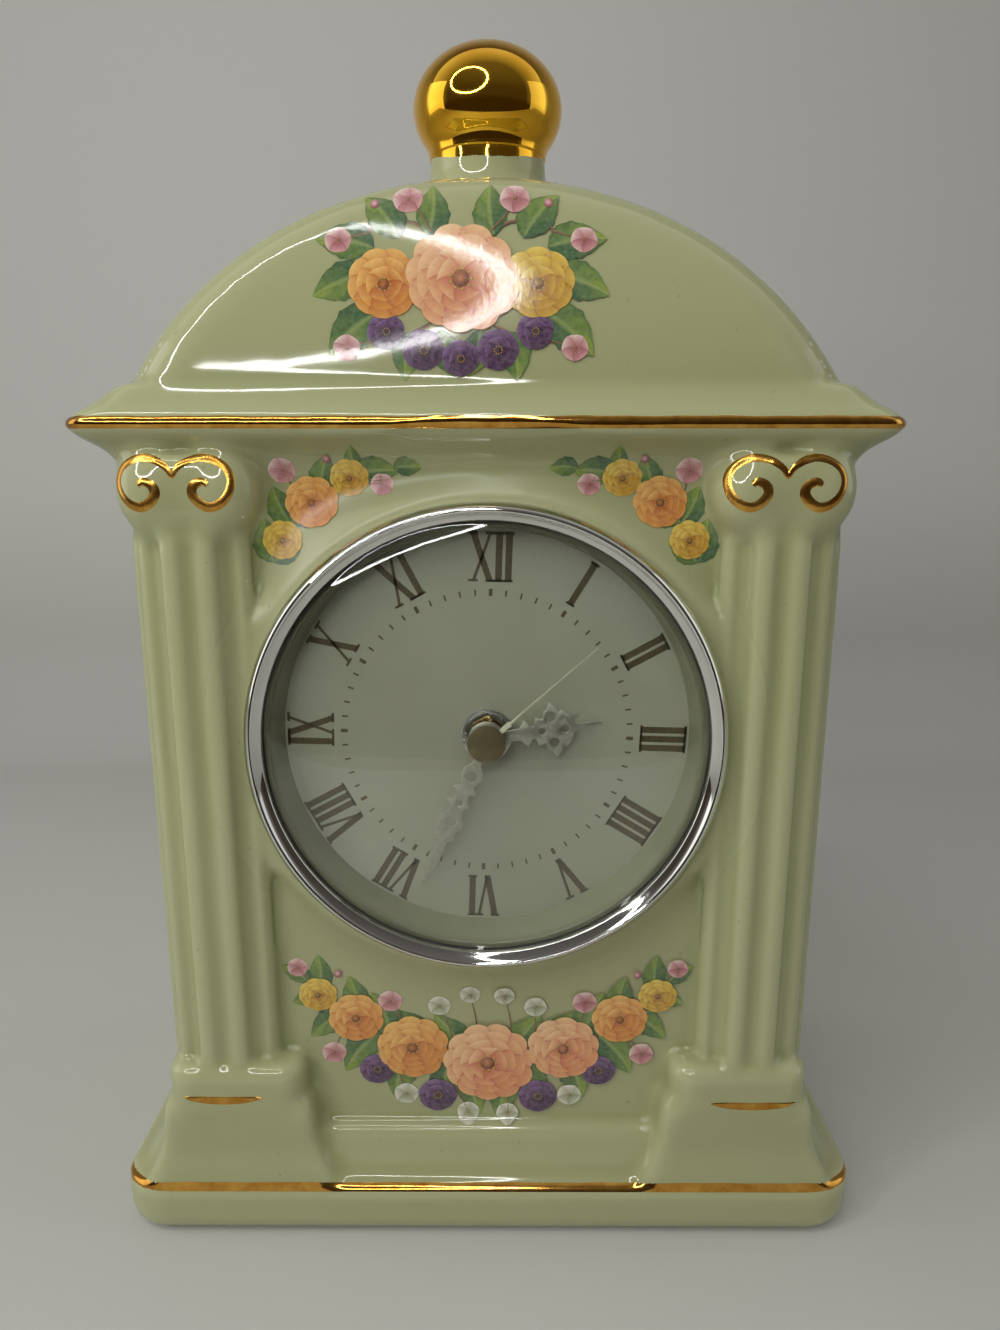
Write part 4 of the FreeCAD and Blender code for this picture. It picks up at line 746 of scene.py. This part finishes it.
# Flowers: the main colour, the pale edge of the lit petals and the deep colour near the heart
PEACH = ((222, 152, 96), (240, 204, 152), (178, 78, 62))
APRICOT = ((214, 142, 56), (240, 196, 112), (170, 76, 38))
YELLOW = ((204, 160, 44), (238, 212, 96), (146, 88, 30))
PLUM = ((78, 46, 84), (140, 108, 154), (42, 20, 46))
BLUSH = ((208, 148, 146), (238, 220, 208), (150, 78, 90))
IVORY = ((206, 206, 186), (236, 234, 220), (128, 132, 96))
# A flower is a little wider than it is high, and each face drawn lifts the next patch by this much
FLOWER_SQUASH = 0.94
PATCH_RISE = 0.00002


class Art:
    """A transfer being drawn. Each patch lies a little above the one before."""

    def __init__(self):
        self.points = []
        self.faces = []

    def patch(self, rows):
        """Rows of (x, z, colour)."""
        level = len(self.faces) * PATCH_RISE
        self.faces += strips(len(rows), len(rows[0]), len(self.points))
        for row in rows:
            self.points += [(*point, level) for point in row]


def between(first, second, share):
    share = min(max(share, 0.0), 1.0)
    return tuple(a + (b - a) * share for a, b in zip(first, second))


def swung(x, z, turn, along, across, squash=1.0):
    """A place given along and across something that grows from (x, z) towards the turn."""
    up = along * math.sin(turn) + across * math.cos(turn)
    return x + along * math.cos(turn) - across * math.sin(turn), z + squash * up


def petal(art, x, z, turn, length, half, near, far, edge):
    """A rounded petal that grows from (x, z) towards the turn."""
    rows = []
    for step in range(8):
        t = step / 7
        wide = half * (0.3 + 0.7 * math.sin(math.pi / 2 * min(1.0, 1.2 * t)))
        row = []
        for column in range(9):
            u = column / 4 - 1
            along = length * t * (1 - 0.2 * u ** 2 * t - 0.04 * (1 - abs(u)) * t ** 4)
            colour = between(near, far, t ** 1.3 + 0.07 * math.cos(9 * u) * t - 0.05)
            colour = between(colour, edge, 0.6 * abs(u) ** 4 * (0.4 + 0.6 * t))
            row.append((*swung(x, z, turn, along, u * wide, FLOWER_SQUASH), colour))
        rows.append(row)
    art.patch(rows)


def leaf(art, x, z, turn, length, half, bend):
    """A pointed leaf with a pale rib, lighter on one side and towards its tip."""
    rows = []
    for step in range(13):
        t = step / 12
        wide = half * math.sin(math.pi * t ** 0.8) ** 0.9 + 0.04
        wide *= 1 + 0.06 * math.sin(step * 2.4)
        angle = turn + bend * t
        row = []
        for column in range(11):
            u = column / 5 - 1
            vein = 0.14 * math.cos(20 * (t - 0.35 * abs(u)))
            lit = 0.18 + 0.55 * t ** 2 + 0.28 * (u > 0) + vein * abs(u) ** 0.5
            colour = between(LEAF_DARK, LEAF_LIGHT, lit)
            colour = between(colour, LEAF_RIB, 0.6 * (column == 5))
            colour = between(colour, LEAF_EDGE, 0.35 * abs(u) ** 6)
            row.append((*swung(x, z, angle, length * t, u * wide), colour))
        rows.append(row)
    art.patch(rows)


def twig(art, points, half):
    """A brown twig through points, thinner towards its tip."""
    path = smooth_path(points, 6)
    rows = []
    for index, (x, z) in enumerate(path):
        along = heading(path, index)
        wide = half * (1 - 0.7 * index / len(path)) * (1 + 0.15 * math.sin(index * 1.7))
        row = []
        for u in (-1, -0.4, 0.2, 1):
            colour = between(TWIG, TWIG_LIGHT, 0.5 + 0.5 * u)
            row.append((x - along.y * wide * u, z + along.x * wide * u, colour))
        rows.append(row)
    art.patch(rows)


def bead(art, x, z, radius, base, bright):
    """A small round seed or bud with its light at the upper left."""
    rows = []
    for ring in range(5):
        reach = radius * (ring + 0.02) / 4
        row = []
        for step in range(17):
            turn = 2 * math.pi * step / 16
            lit = 0.75 - 0.2 * ring + 0.35 * math.cos(turn - 2.3) * ring / 4
            row.append((x + reach * math.cos(turn), z + reach * math.sin(turn), between(base, bright, lit)))
        rows.append(row)
    art.patch(rows)


def bloom(art, x, z, radius, rings, count, colours, turn=0.0):
    """A full flower: rings of petals that get smaller inwards, round a seeded heart."""
    base, pale, deep = colours
    for ring in range(rings):
        share = 1 - 0.78 * ring / rings
        petals = max(count - 2 * ring, 5)
        for index in range(petals):
            angle = turn + ring * 0.45 + 2 * math.pi * index / petals
            tilt = 0.5 + 0.5 * math.cos(angle - 2.2)
            near = between(deep, base, 0.15 + 0.35 * tilt)
            far = between(base, pale, 0.15 + 0.85 * tilt)
            edge = between(deep, base, 0.35 * tilt)
            length = radius * share * (1 + 0.05 * math.sin(7 * index + ring))
            half = radius * share * 3.3 / petals
            petal(art, x, z, angle, length, half, near, far, edge)
    heart = radius * 0.15
    bead(art, x, z, heart, between(deep, HEART, 0.5), base)
    for index in range(9):
        angle = 2 * math.pi * index / 9
        out, up = 1.2 * heart * math.cos(angle), FLOWER_SQUASH * 1.2 * heart * math.sin(angle)
        bead(art, x + out, z + up, heart * 0.22, SEED, SEED_LIGHT)


def sprig(art, start, end, radius, colours, turn=0.0):
    """A little blossom on its own thin stem."""
    (x0, z0), (x1, z1) = start, end
    twig(art, [start, (0.5 * (x0 + x1) + 0.08 * (z1 - z0), 0.5 * (z0 + z1)), end], 0.22)
    bloom(art, x1, z1, radius, 1, 5, colours, turn)


def mirrored(turn, side):
    """A turn for the right side, or its mirror image for the left."""
    return turn if side > 0 else math.pi - turn


def placed(side, spots, centre=(0.0, 0.0)):
    """Points given outwards and upwards from a centre, on one side of it."""
    return [(centre[0] + side * out, centre[1] + up) for out, up in spots]


# The tables below are for the right side. A leaf on the dome: how far out and up, its turn and its length.
# A sprig: where its stem starts, where its blossom is and the blossom's radius.
DOME_CENTRE = (-4.0, 182.5)
DOME_TWIGS = ((((0, 4), (8, 9.5), (15, 8.5), (20.5, 5.0)), 0.4),
              (((0, -4), (9, -9), (18.5, -10.5)), 0.35))
DOME_LEAVES = ((7, 9, 1.9, 9.0), (13, 8.5, 1.15, 9.5), (18, 6.5, 0.4, 10.0), (19, 1.0, -0.1, 10.0),
               (17, -6.5, -0.45, 11.0), (10, -10.5, -1.15, 8.0), (4, -10, -1.6, 8.0))
DOME_SPRIGS = (((5, 8), (9.0, 13.6), 2.5), ((15, 8), (20.5, 6.5), 2.2), ((12, -9), (19.0, -11.0), 2.2))


def dome_art():
    """Wreath of one large flower between two smaller ones, on the arched top."""
    art = Art()
    x, z = DOME_CENTRE
    for side in (-1, 1):
        for spots, half in DOME_TWIGS:
            twig(art, placed(side, spots, DOME_CENTRE), half)
        for out, up, turn, length in DOME_LEAVES:
            angle = mirrored(turn, side)
            leaf(art, x + side * out * 0.8, z + up * 0.8, angle, length, length * 0.32, -0.25 * side)
        for start, end, radius in DOME_SPRIGS:
            start, end = placed(side, (start, end), DOME_CENTRE)
            sprig(art, start, end, radius, BLUSH, 0.3 * side)
        bead(art, x + side * 14.6, z + 12.8, 0.8, BLUSH[2], BLUSH[1])
        bloom(art, x + side * 6.2, z - 11.4, 3.6, 2, 7, PLUM, 0.2)
        bloom(art, x + side * 12.4, z - 8.4, 3.2, 2, 7, PLUM, 0.5)
        bloom(art, x + side * 12.8, z - 0.8, 6.4, 3, 9, APRICOT if side < 0 else YELLOW, 0.2 * side)
    bloom(art, x, z - 12.8, 3.2, 2, 7, PLUM)
    bloom(art, x, z, 9.8, 4, 11, PEACH, 0.1)
    return art


# A leaf in a corner: the point of the stem that it grows from, its turn and its length
CORNER_STEM = ((37.6, 135.5), (34.5, 142.5), (29.0, 147.6), (22.5, 150.8), (16.0, 152.0))
CORNER_LEAVES = ((0, 1.15, 8.0), (0, 2.3, 6.5), (1, 0.9, 7.0), (1, 2.5, 8.0),
                 (2, 1.6, 7.0), (3, 1.25, 5.0), (3, 2.8, 7.5), (4, 2.9, 5.0))
CORNER_SPRIGS = (((22.0, 151.0), (18.0, 149.2), 2.0), ((33.0, 144.5), (35.4, 151.6), 2.3))
CORNER_BLOOMS = ((23.8, 150.2, 3.6, YELLOW), (36.0, 139.4, 3.8, YELLOW), (30.6, 146.0, 5.0, APRICOT))


def corner_art(side):
    """Sprig that follows the bezel in an upper corner of the front."""
    art = Art()
    stem = placed(side, CORNER_STEM)
    twig(art, stem, 0.45)
    for index, turn, length in CORNER_LEAVES:
        leaf(art, *stem[index], mirrored(turn, side), length, length * 0.33, 0.25 * side)
    for start, end, radius in CORNER_SPRIGS:
        sprig(art, *placed(side, (start, end)), radius, BLUSH)
    for out, up, radius, colours in CORNER_BLOOMS:
        bloom(art, side * out, up, radius, 3, 9, colours, 0.3 * side)
    bead(art, side * 27.4, 153.6, 0.7, BLUSH[2], BLUSH[1])
    return art


# The swag's lowest point, its rise and its half width. A leaf or sprig starts at a share of the half width.
SWAG_LOW = 33.5
SWAG_RISE = 19.5
SWAG_HALF = 35.5
SWAG_LEAVES = ((0.22, -1.25, 11.0), (0.33, 1.25, 13.0), (0.42, -0.9, 11.5), (0.55, 1.55, 11.5),
               (0.62, -0.6, 11.0), (0.74, 1.75, 10.0), (0.8, -0.35, 9.0), (0.92, 0.05, 6.5),
               (0.95, 1.9, 8.0), (1.0, 0.95, 6.5), (0.12, 1.35, 13.0), (0.1, -1.45, 11.5))
SWAG_SPRIGS = ((1.0, (37.6, 55.4), 2.0, BLUSH), (0.75, (31.0, 36.4), 2.4, BLUSH),
               (0.45, (19.4, 48.0), 2.4, BLUSH), (0.2, (9.6, 47.0), 2.2, IVORY),
               (0.1, (3.4, 49.6), 2.0, IVORY), (0.5, (16.6, 27.0), 2.4, IVORY),
               (0.2, (4.0, 22.9), 2.2, IVORY))


def on_swag(side, share, bow=1.0):
    """A place on the swag's curve, at a share of its half width."""
    return side * share * SWAG_HALF, SWAG_LOW + bow * SWAG_RISE * share ** 2


def swag_art():
    """Wide swag of flowers that hangs below the insert."""
    art = Art()
    for side in (-1, 1):
        twig(art, [on_swag(side, share) for share in (0.1, 0.35, 0.6, 0.8, 1.0)], 0.5)
        for share, turn, length in SWAG_LEAVES:
            leaf(art, *on_swag(side, share, 0.95), mirrored(turn, side), length, length * 0.3, -0.3 * side)
        for share, end, radius, colours in SWAG_SPRIGS:
            sprig(art, on_swag(side, share), (side * end[0], end[1]), radius, colours, 0.4 * side)
        bloom(art, side * 10.2, 26.6, 4.0, 2, 7, PLUM, 0.1)
        bloom(art, side * 22.4, 32.6, 3.6, 2, 7, PLUM, 0.3)
        bloom(art, side * 33.8, 49.4, 4.0, 3, 9, YELLOW, 0.3 * side)
        bloom(art, side * 26.4, 44.2, 5.8, 3, 9, APRICOT, 0.2 * side)
        bloom(art, side * 15.2, 37.6, 7.6, 4, 10, PEACH if side > 0 else APRICOT, 0.25 * side)
        bead(art, side * 29.6, 54.2, 0.8, BLUSH[2], BLUSH[1])
    bloom(art, 0.0, SWAG_LOW + 0.9, 9.6, 4, 11, PEACH, 0.15)
    return art


def printed(skin, name, art, material):
    """Cast a drawn transfer on the front of the case."""
    points, tints = [], []
    for x, z, colour, level in art.points:
        start = Vector((x * MM, -RAY_START, z * MM))
        hit, normal, _, _ = skin.ray_cast(start, BACK, 2 * RAY_START)
        points.append(hit + normal * (0.05 + level) * MM)
        tints += tone(*colour)
    mesh = mesh_of(name, points, art.faces, outward=False)
    store(mesh, "tint", "FLOAT_COLOR", "color", tints)
    made(name, mesh, "case", material, "glaze")


def transfers(skin):
    fired = transfer()
    printed(skin, "dome_transfer", dome_art(), fired)
    for name, side in (("left", -1), ("right", 1)):
        printed(skin, f"{name}_corner_transfer", corner_art(side), fired)
    printed(skin, "swag_transfer", swag_art(), fired)


# Insert

def turned(name, profile, segments, material, slot, sharp):
    """A lathe piece of the insert. The profile is in mm."""
    mesh = lathe(name, [(radius * MM, height * MM) for radius, height in profile], segments)
    return made(name, mesh, "insert", material, slot, sharp)


def bezel():
    """Bright rolled bezel with its skirt."""
    profile = [(44.0, 0.0), (44.0, 1.2)]
    profile += arc_points((44.0, 1.2), (42.7, 3.8), 2.7, True, 10)
    profile += arc_points((42.7, 3.8), (42.3, 3.72), 0.5, True, 4)
    profile += arc_points((42.3, 3.72), (40.75, 2.35), 6.0, False, 8)
    profile += [(40.7, 2.2), (40.7, 1.4), (41.3, 1.4), (41.3, -2.0), (41.75, -2.0), (41.75, 0.0)]
    item = turned("bright_bezel", profile, 320, chrome(), "chrome", 50)
    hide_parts("bezel")


# How fast the lens rolls off towards its rim
LENS_ROLL = 9


def lens():
    """Domed lens with a flat rim."""
    profile = [(41.2, 0.0), (41.2, 1.4), (40.6, 1.4)]
    for step in range(1, 61):
        share = 1 - step / 60
        profile.append((max(40.6 * share, 0.02), 3.0 - 1.6 * share ** LENS_ROLL))
    profile += [(0.02, 1.6)]
    profile += arc_points((0.02, 1.6), (39.3, 0.0), (39.3 ** 2 + 1.6 ** 2) / 3.2, False, 40)
    item = turned("clear_lens", profile, 256, clear_lens(), "lens", 30)
    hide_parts("lens")


def dial_ring():
    """Inner ring that slopes from under the lens down to the dial."""
    low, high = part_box("dial_ring")
    outer = (high.x - low.x) / 2 / MM
    profile = [(39.3, -0.25), (39.55, 0.0), (outer, 0.0), (outer, -0.8),
               (39.8, -0.8), (39.8, -7.0), (37.9, -7.0)]
    item = turned("sloped_ring", profile, 256, ring_lacquer(), "ring_grey", 30)
    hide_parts("dial_ring")


def bar(start, end, half):
    """Corners of a stroke between two points, with level ends, as (x, y)."""
    (x0, y0), (x1, y1) = start, end
    return [(x0 - half, y0), (x0 + half, y0), (x1 + half, y1), (x1 - half, y1)]


# Strokes of the numerals, in a cell as wide as the letter and 1 high: (start, end, half width share)
THICK = 0.074
THIN = 0.034
LETTERS = {
    "I": (0.215, (((0.5, 0), (0.5, 1), THICK),), ((0.5, 0), (0.5, 1))),
    "V": (0.50, (((0.12, 1), (0.52, 0), THICK), ((0.88, 1), (0.52, 0), THIN)), ((0.12, 1), (0.88, 1))),
    "X": (0.54, (((0.14, 1), (0.86, 0), THICK), ((0.84, 1), (0.16, 0), THIN)),
          ((0.14, 1), (0.84, 1), (0.16, 0), (0.86, 0))),
}
NUMERALS = ("XII", "I", "II", "III", "IIII", "V", "VI", "VII", "VIII", "IX", "X", "XI")
SERIF_HALF = 0.105
SERIF_HEIGHT = 0.052
# Sizes and places of the print on the dial, in mm, and how far it is turned
NUMERAL_FOOT = 29.2
NUMERAL_HEIGHT = 8.3
MINUTE_RADIUS = 27.3
HOUR_MARK = (0.34, 1.3)
MINUTE_MARK = (0.17, 1.1)
PRINT_TURN = math.radians(1.6)


def numeral_quads(text):
    """The bars of a numeral, centred and 1 high."""
    total = sum(LETTERS[letter][0] for letter in text)
    left = -total / 2
    quads = []
    for letter in text:
        width, strokes, serifs = LETTERS[letter]
        for (x0, y0), (x1, y1), half in strokes:
            quads.append(bar((left + x0 * width, y0), (left + x1 * width, y1), half))
        for x, y in serifs:
            centre = left + x * width
            low = y - SERIF_HEIGHT if y > 0.5 else y
            quads.append(bar((centre, low), (centre, low + SERIF_HEIGHT), SERIF_HALF))
        left += width
    return quads


def dial_print():
    """Roman numerals and minute marks, a film of bronze ink on the dial."""
    film = 0.03 * MM
    points, faces = [], []

    def add(corners, angle):
        start = len(points)
        for lift in (0.0, film):
            for x, y in corners:
                across = (x * math.cos(angle) + y * math.sin(angle)) * MM
                along = (y * math.cos(angle) - x * math.sin(angle)) * MM
                points.append((AXIS_X + across, DIAL_FRONT - lift, AXIS_Z + along))
        faces.append((start + 4, start + 5, start + 6, start + 7))
        for side in range(4):
            after = (side + 1) % 4
            faces.append((start + side, start + after, start + 4 + after, start + 4 + side))

    for hour, text in enumerate(NUMERALS):
        angle = 2 * math.pi * hour / 12 + PRINT_TURN
        for quad in numeral_quads(text):
            add([(x * NUMERAL_HEIGHT, NUMERAL_FOOT + y * NUMERAL_HEIGHT) for x, y in quad], angle)
    for minute in range(60):
        angle = 2 * math.pi * minute / 60 + PRINT_TURN
        half, length = HOUR_MARK if minute % 5 == 0 else MINUTE_MARK
        ends = [(0, MINUTE_RADIUS + share * length) for share in (-0.5, 0.5)]
        add(bar(*ends, half), angle)
    made("dial_print", mesh_of("dial_print", points, faces), "insert", print_bronze(), "dial_cream", 30)


def refined(node, body, material, bevel):
    """A CAD piece with small rounded edges and a finish."""
    mesh = nodes[node].data.copy()
    item = put(node + "_finished", mesh)
    shape = bmesh.new()
    shape.from_mesh(mesh)
    bmesh.ops.remove_doubles(shape, verts=shape.verts, dist=0.002 * MM)
    bmesh.ops.dissolve_limit(shape, angle_limit=math.radians(1.0), verts=shape.verts, edges=shape.edges)
    shape.to_mesh(mesh)
    shape.free()
    rounding = item.modifiers.new("edge", "BEVEL")
    rounding.width = bevel
    rounding.segments = 2
    rounding.limit_method = "ANGLE"
    rounding.angle_limit = math.radians(35)
    done = made(node + "_finished", baked(item), body, material, sharp=45)
    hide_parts(node)


def finish(material, *names):
    """CAD nodes that keep their meshes and get a finish."""
    for name in names:
        coat(nodes[name].data, material)


def insert_parts():
    bezel()
    lens()
    dial_ring()
    finish(dial_silver(), "dial")
    dial_print()
    hour = hand_silver("hour_silver", tone(196, 196, 184), tone(164, 164, 152), 0.3)
    minute = hand_silver("minute_silver", tone(190, 189, 174), tone(170, 168, 152), 0.32)
    nickel = metal("nut_nickel", tone(198, 198, 192), tone(160, 160, 156), 0.2)
    refined("hour_hand", "hour", hour, 0.07 * MM)
    refined("minute_hand", "minute", minute, 0.07 * MM)
    refined("second_hand", "second", second_finish(), 0.05 * MM)
    refined("hand_nut", "insert", nickel, 0.12 * MM)
    movement_parts()


def movement_parts():
    black = moulded("black_moulding", tone(34, 34, 36), tone(46, 46, 48), 0.45)
    finish(black, "insert_cup")
    finish(moulded("gasket_rubber", tone(30, 30, 30), tone(44, 43, 42), 0.7, 500.0, 0.00004), "gasket")
    refined("movement_front_case", "insert", black, 0.25 * MM)
    refined("movement_back_case", "insert", black, 0.35 * MM)
    brass = metal("turned_brass", tone(206, 170, 96), tone(166, 130, 66), 0.24)
    steel = metal("drawn_steel", tone(190, 190, 192), tone(150, 150, 154), 0.3, (1.0, 1.0, 0.08))
    acetal = moulded("white_acetal", tone(226, 224, 214), tone(212, 209, 196), 0.42)
    finish(brass, "centre_bush", "cannon_pinion")
    finish(steel, "dial_washer", "contact_positive", "contact_negative", "stator", "quartz_crystal")
    finish(acetal, "rotor_pinion", "fifth_wheel", "second_wheel", "third_wheel", "centre_wheel",
           "reverse_wheel", "hour_wheel", "coil_bobbin", "train_bridge")
    copper = metal("enamelled_copper", tone(196, 112, 60), tone(150, 78, 38), 0.28, (90.0, 1.0, 1.0), 60.0)
    finish(copper, "coil_winding")
    finish(moulded("board_resin", tone(24, 96, 52), tone(36, 120, 66), 0.3), "circuit_board")
    finish(moulded("chip_resin", tone(22, 22, 24), tone(34, 34, 36), 0.35), "chip")
    finish(metal("sintered_magnet", tone(96, 96, 100), tone(70, 70, 74), 0.45), "rotor_magnet")
    knob = moulded("knob_plastic", tone(48, 48, 50), tone(64, 64, 66), 0.4)
    refined("set_knob", "reverse", knob, 0.12 * MM)
    finish(battery_sleeve(), "battery")


def battery_sleeve():
    """Plain two-tone cell: dark sleeve, a light band towards the positive end and bare steel ends."""
    paint = Paint("cell_sleeve", tone(40, 44, 52), 0.28)
    low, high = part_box("battery")
    across = paint.along("X")
    band = paint.spread(across, high.x - 14.05 * MM, high.x - 13.95 * MM)
    colour = paint.blend(band, tone(40, 44, 52), tone(196, 150, 70))
    ends = paint.sum("MAXIMUM", paint.spread(across, high.x - 1.65 * MM, high.x - 1.55 * MM),
                     paint.spread(across, low.x + 0.65 * MM, low.x + 0.55 * MM))
    scuffed = paint.mottled(paint.noise(400.0), colour, tone(90, 90, 92), most=0.2)
    paint.colour(paint.blend(ends, scuffed, tone(190, 190, 190)))
    paint.set("Metallic", ends)
    return paint.material


# Studio

def studio_set():
    """Pale floor that sweeps up into a pale wall."""
    floor_front, floor_back, sweep, top, half_width = -0.32, 0.24, 0.06, 1.5, 2.2
    profile = [(floor_front, 0.0), (floor_back, 0.0)]
    for step in range(1, 13):
        turn = math.pi / 2 * step / 12
        profile.append((floor_back + sweep * math.sin(turn), sweep - sweep * math.cos(turn)))
    profile.append((floor_back + sweep, top))
    points = []
    for y, z in profile:
        points += [(-half_width, y, z), (half_width, y, z)]
    mesh = mesh_of("sweep", points, strips(len(profile), 2), outward=False)
    item = put("sweep", mesh)
    coat(mesh, sweep_paper())
    mesh.shade_smooth()


def lamp(name, place, aim, power, width, height, colour=(1, 1, 1)):
    data = bpy.data.lights.new(name, "AREA")
    data.shape = "RECTANGLE"
    data.size = width
    data.size_y = height
    data.energy = power
    data.color = colour
    item = put(name, data)
    item.location = place
    item.rotation_euler = (Vector(aim) - Vector(place)).to_track_quat("-Z", "Y").to_euler()
    return item


def ring_lamp(place, aim, radius, count, width, power):
    """A ring of small lamps that all face the same way."""
    facing = (Vector(aim) - Vector(place)).normalized()
    level = facing.cross(UP).normalized()
    steep = level.cross(facing)
    for index in range(count):
        turn = 2 * math.pi * index / count
        out = level * math.cos(turn) + steep * math.sin(turn)
        spot = Vector(place) + out * radius
        length = 2 * math.pi * radius / count
        item = lamp(f"ring_{index}", spot, spot + facing, power / count, width, length)
        item.rotation_euler = Matrix((out, facing.cross(-out), -facing)).transposed().to_euler()


def lights():
    """The photo's ring lamp at the upper left, with a soft wall on each side and a lamp behind."""
    middle_of_base = (0.0, 0.0, 0.1)
    ring_lamp((-0.164, -0.31, 0.405), (0.0, 0.0, 0.219), radius=0.187, count=28, width=0.014, power=1.64)
    lamp("left_wall", (-1.5, -0.1, 0.4), middle_of_base, 4.6, 1.0, 1.4, (1.0, 0.99, 0.97))
    lamp("right_wall", (1.5, -0.1, 0.4), middle_of_base, 2.2, 1.0, 1.4, (0.98, 0.99, 1.0))
    lamp("back", (0.1, 0.9, 0.9), middle_of_base, 4.0, 0.8, 0.5)


def world():
    """A room that is dark in front and below the table, and pale behind and overhead."""
    room = bpy.data.worlds.new("room")
    bpy.context.scene.world = room
    room.use_nodes = True
    sky = Nodes(room.node_tree)
    depth, height = sky.along("Y", "Generated"), sky.along("Z", "Generated")
    behind = sky.spread(depth, -0.5, 0.1, 0.03, 0.95)
    overhead = sky.spread(height, 0.1, 0.9, 0.0, 0.16)
    above_table = sky.spread(height, -0.15, 0.0)
    lit = sky.sum("MULTIPLY", sky.sum("MAXIMUM", behind, overhead), above_table)
    background = sky.tree.nodes["Background"].inputs
    sky.link(sky.blend(lit, tone(60, 50, 40), tone(240, 240, 240)), background["Color"])
    background["Strength"].default_value = 0.8


def camera():
    """The photo's camera, found by fitting it to the clock's outline."""
    focal_pixels = 900.3
    frame_pixels = 1330
    data = bpy.data.cameras.new("camera")
    data.sensor_width = 36.0
    data.sensor_fit = "AUTO"
    data.lens = focal_pixels * data.sensor_width / frame_pixels
    data.clip_start = 0.01
    item = put("camera", data)
    item.location = (2.93 * MM, -192.92 * MM, 152.56 * MM)
    item.rotation_euler = (math.radians(90 - 12.55), 0.0, math.radians(0.16))
    bpy.context.scene.camera = item


bpy.context.scene.view_settings.view_transform = "Standard"
case = glazed_case()
skin = skin_of(case)
finial(skin)
gilding(skin)
transfers(skin)
insert_parts()
studio_set()
lights()
world()
camera()
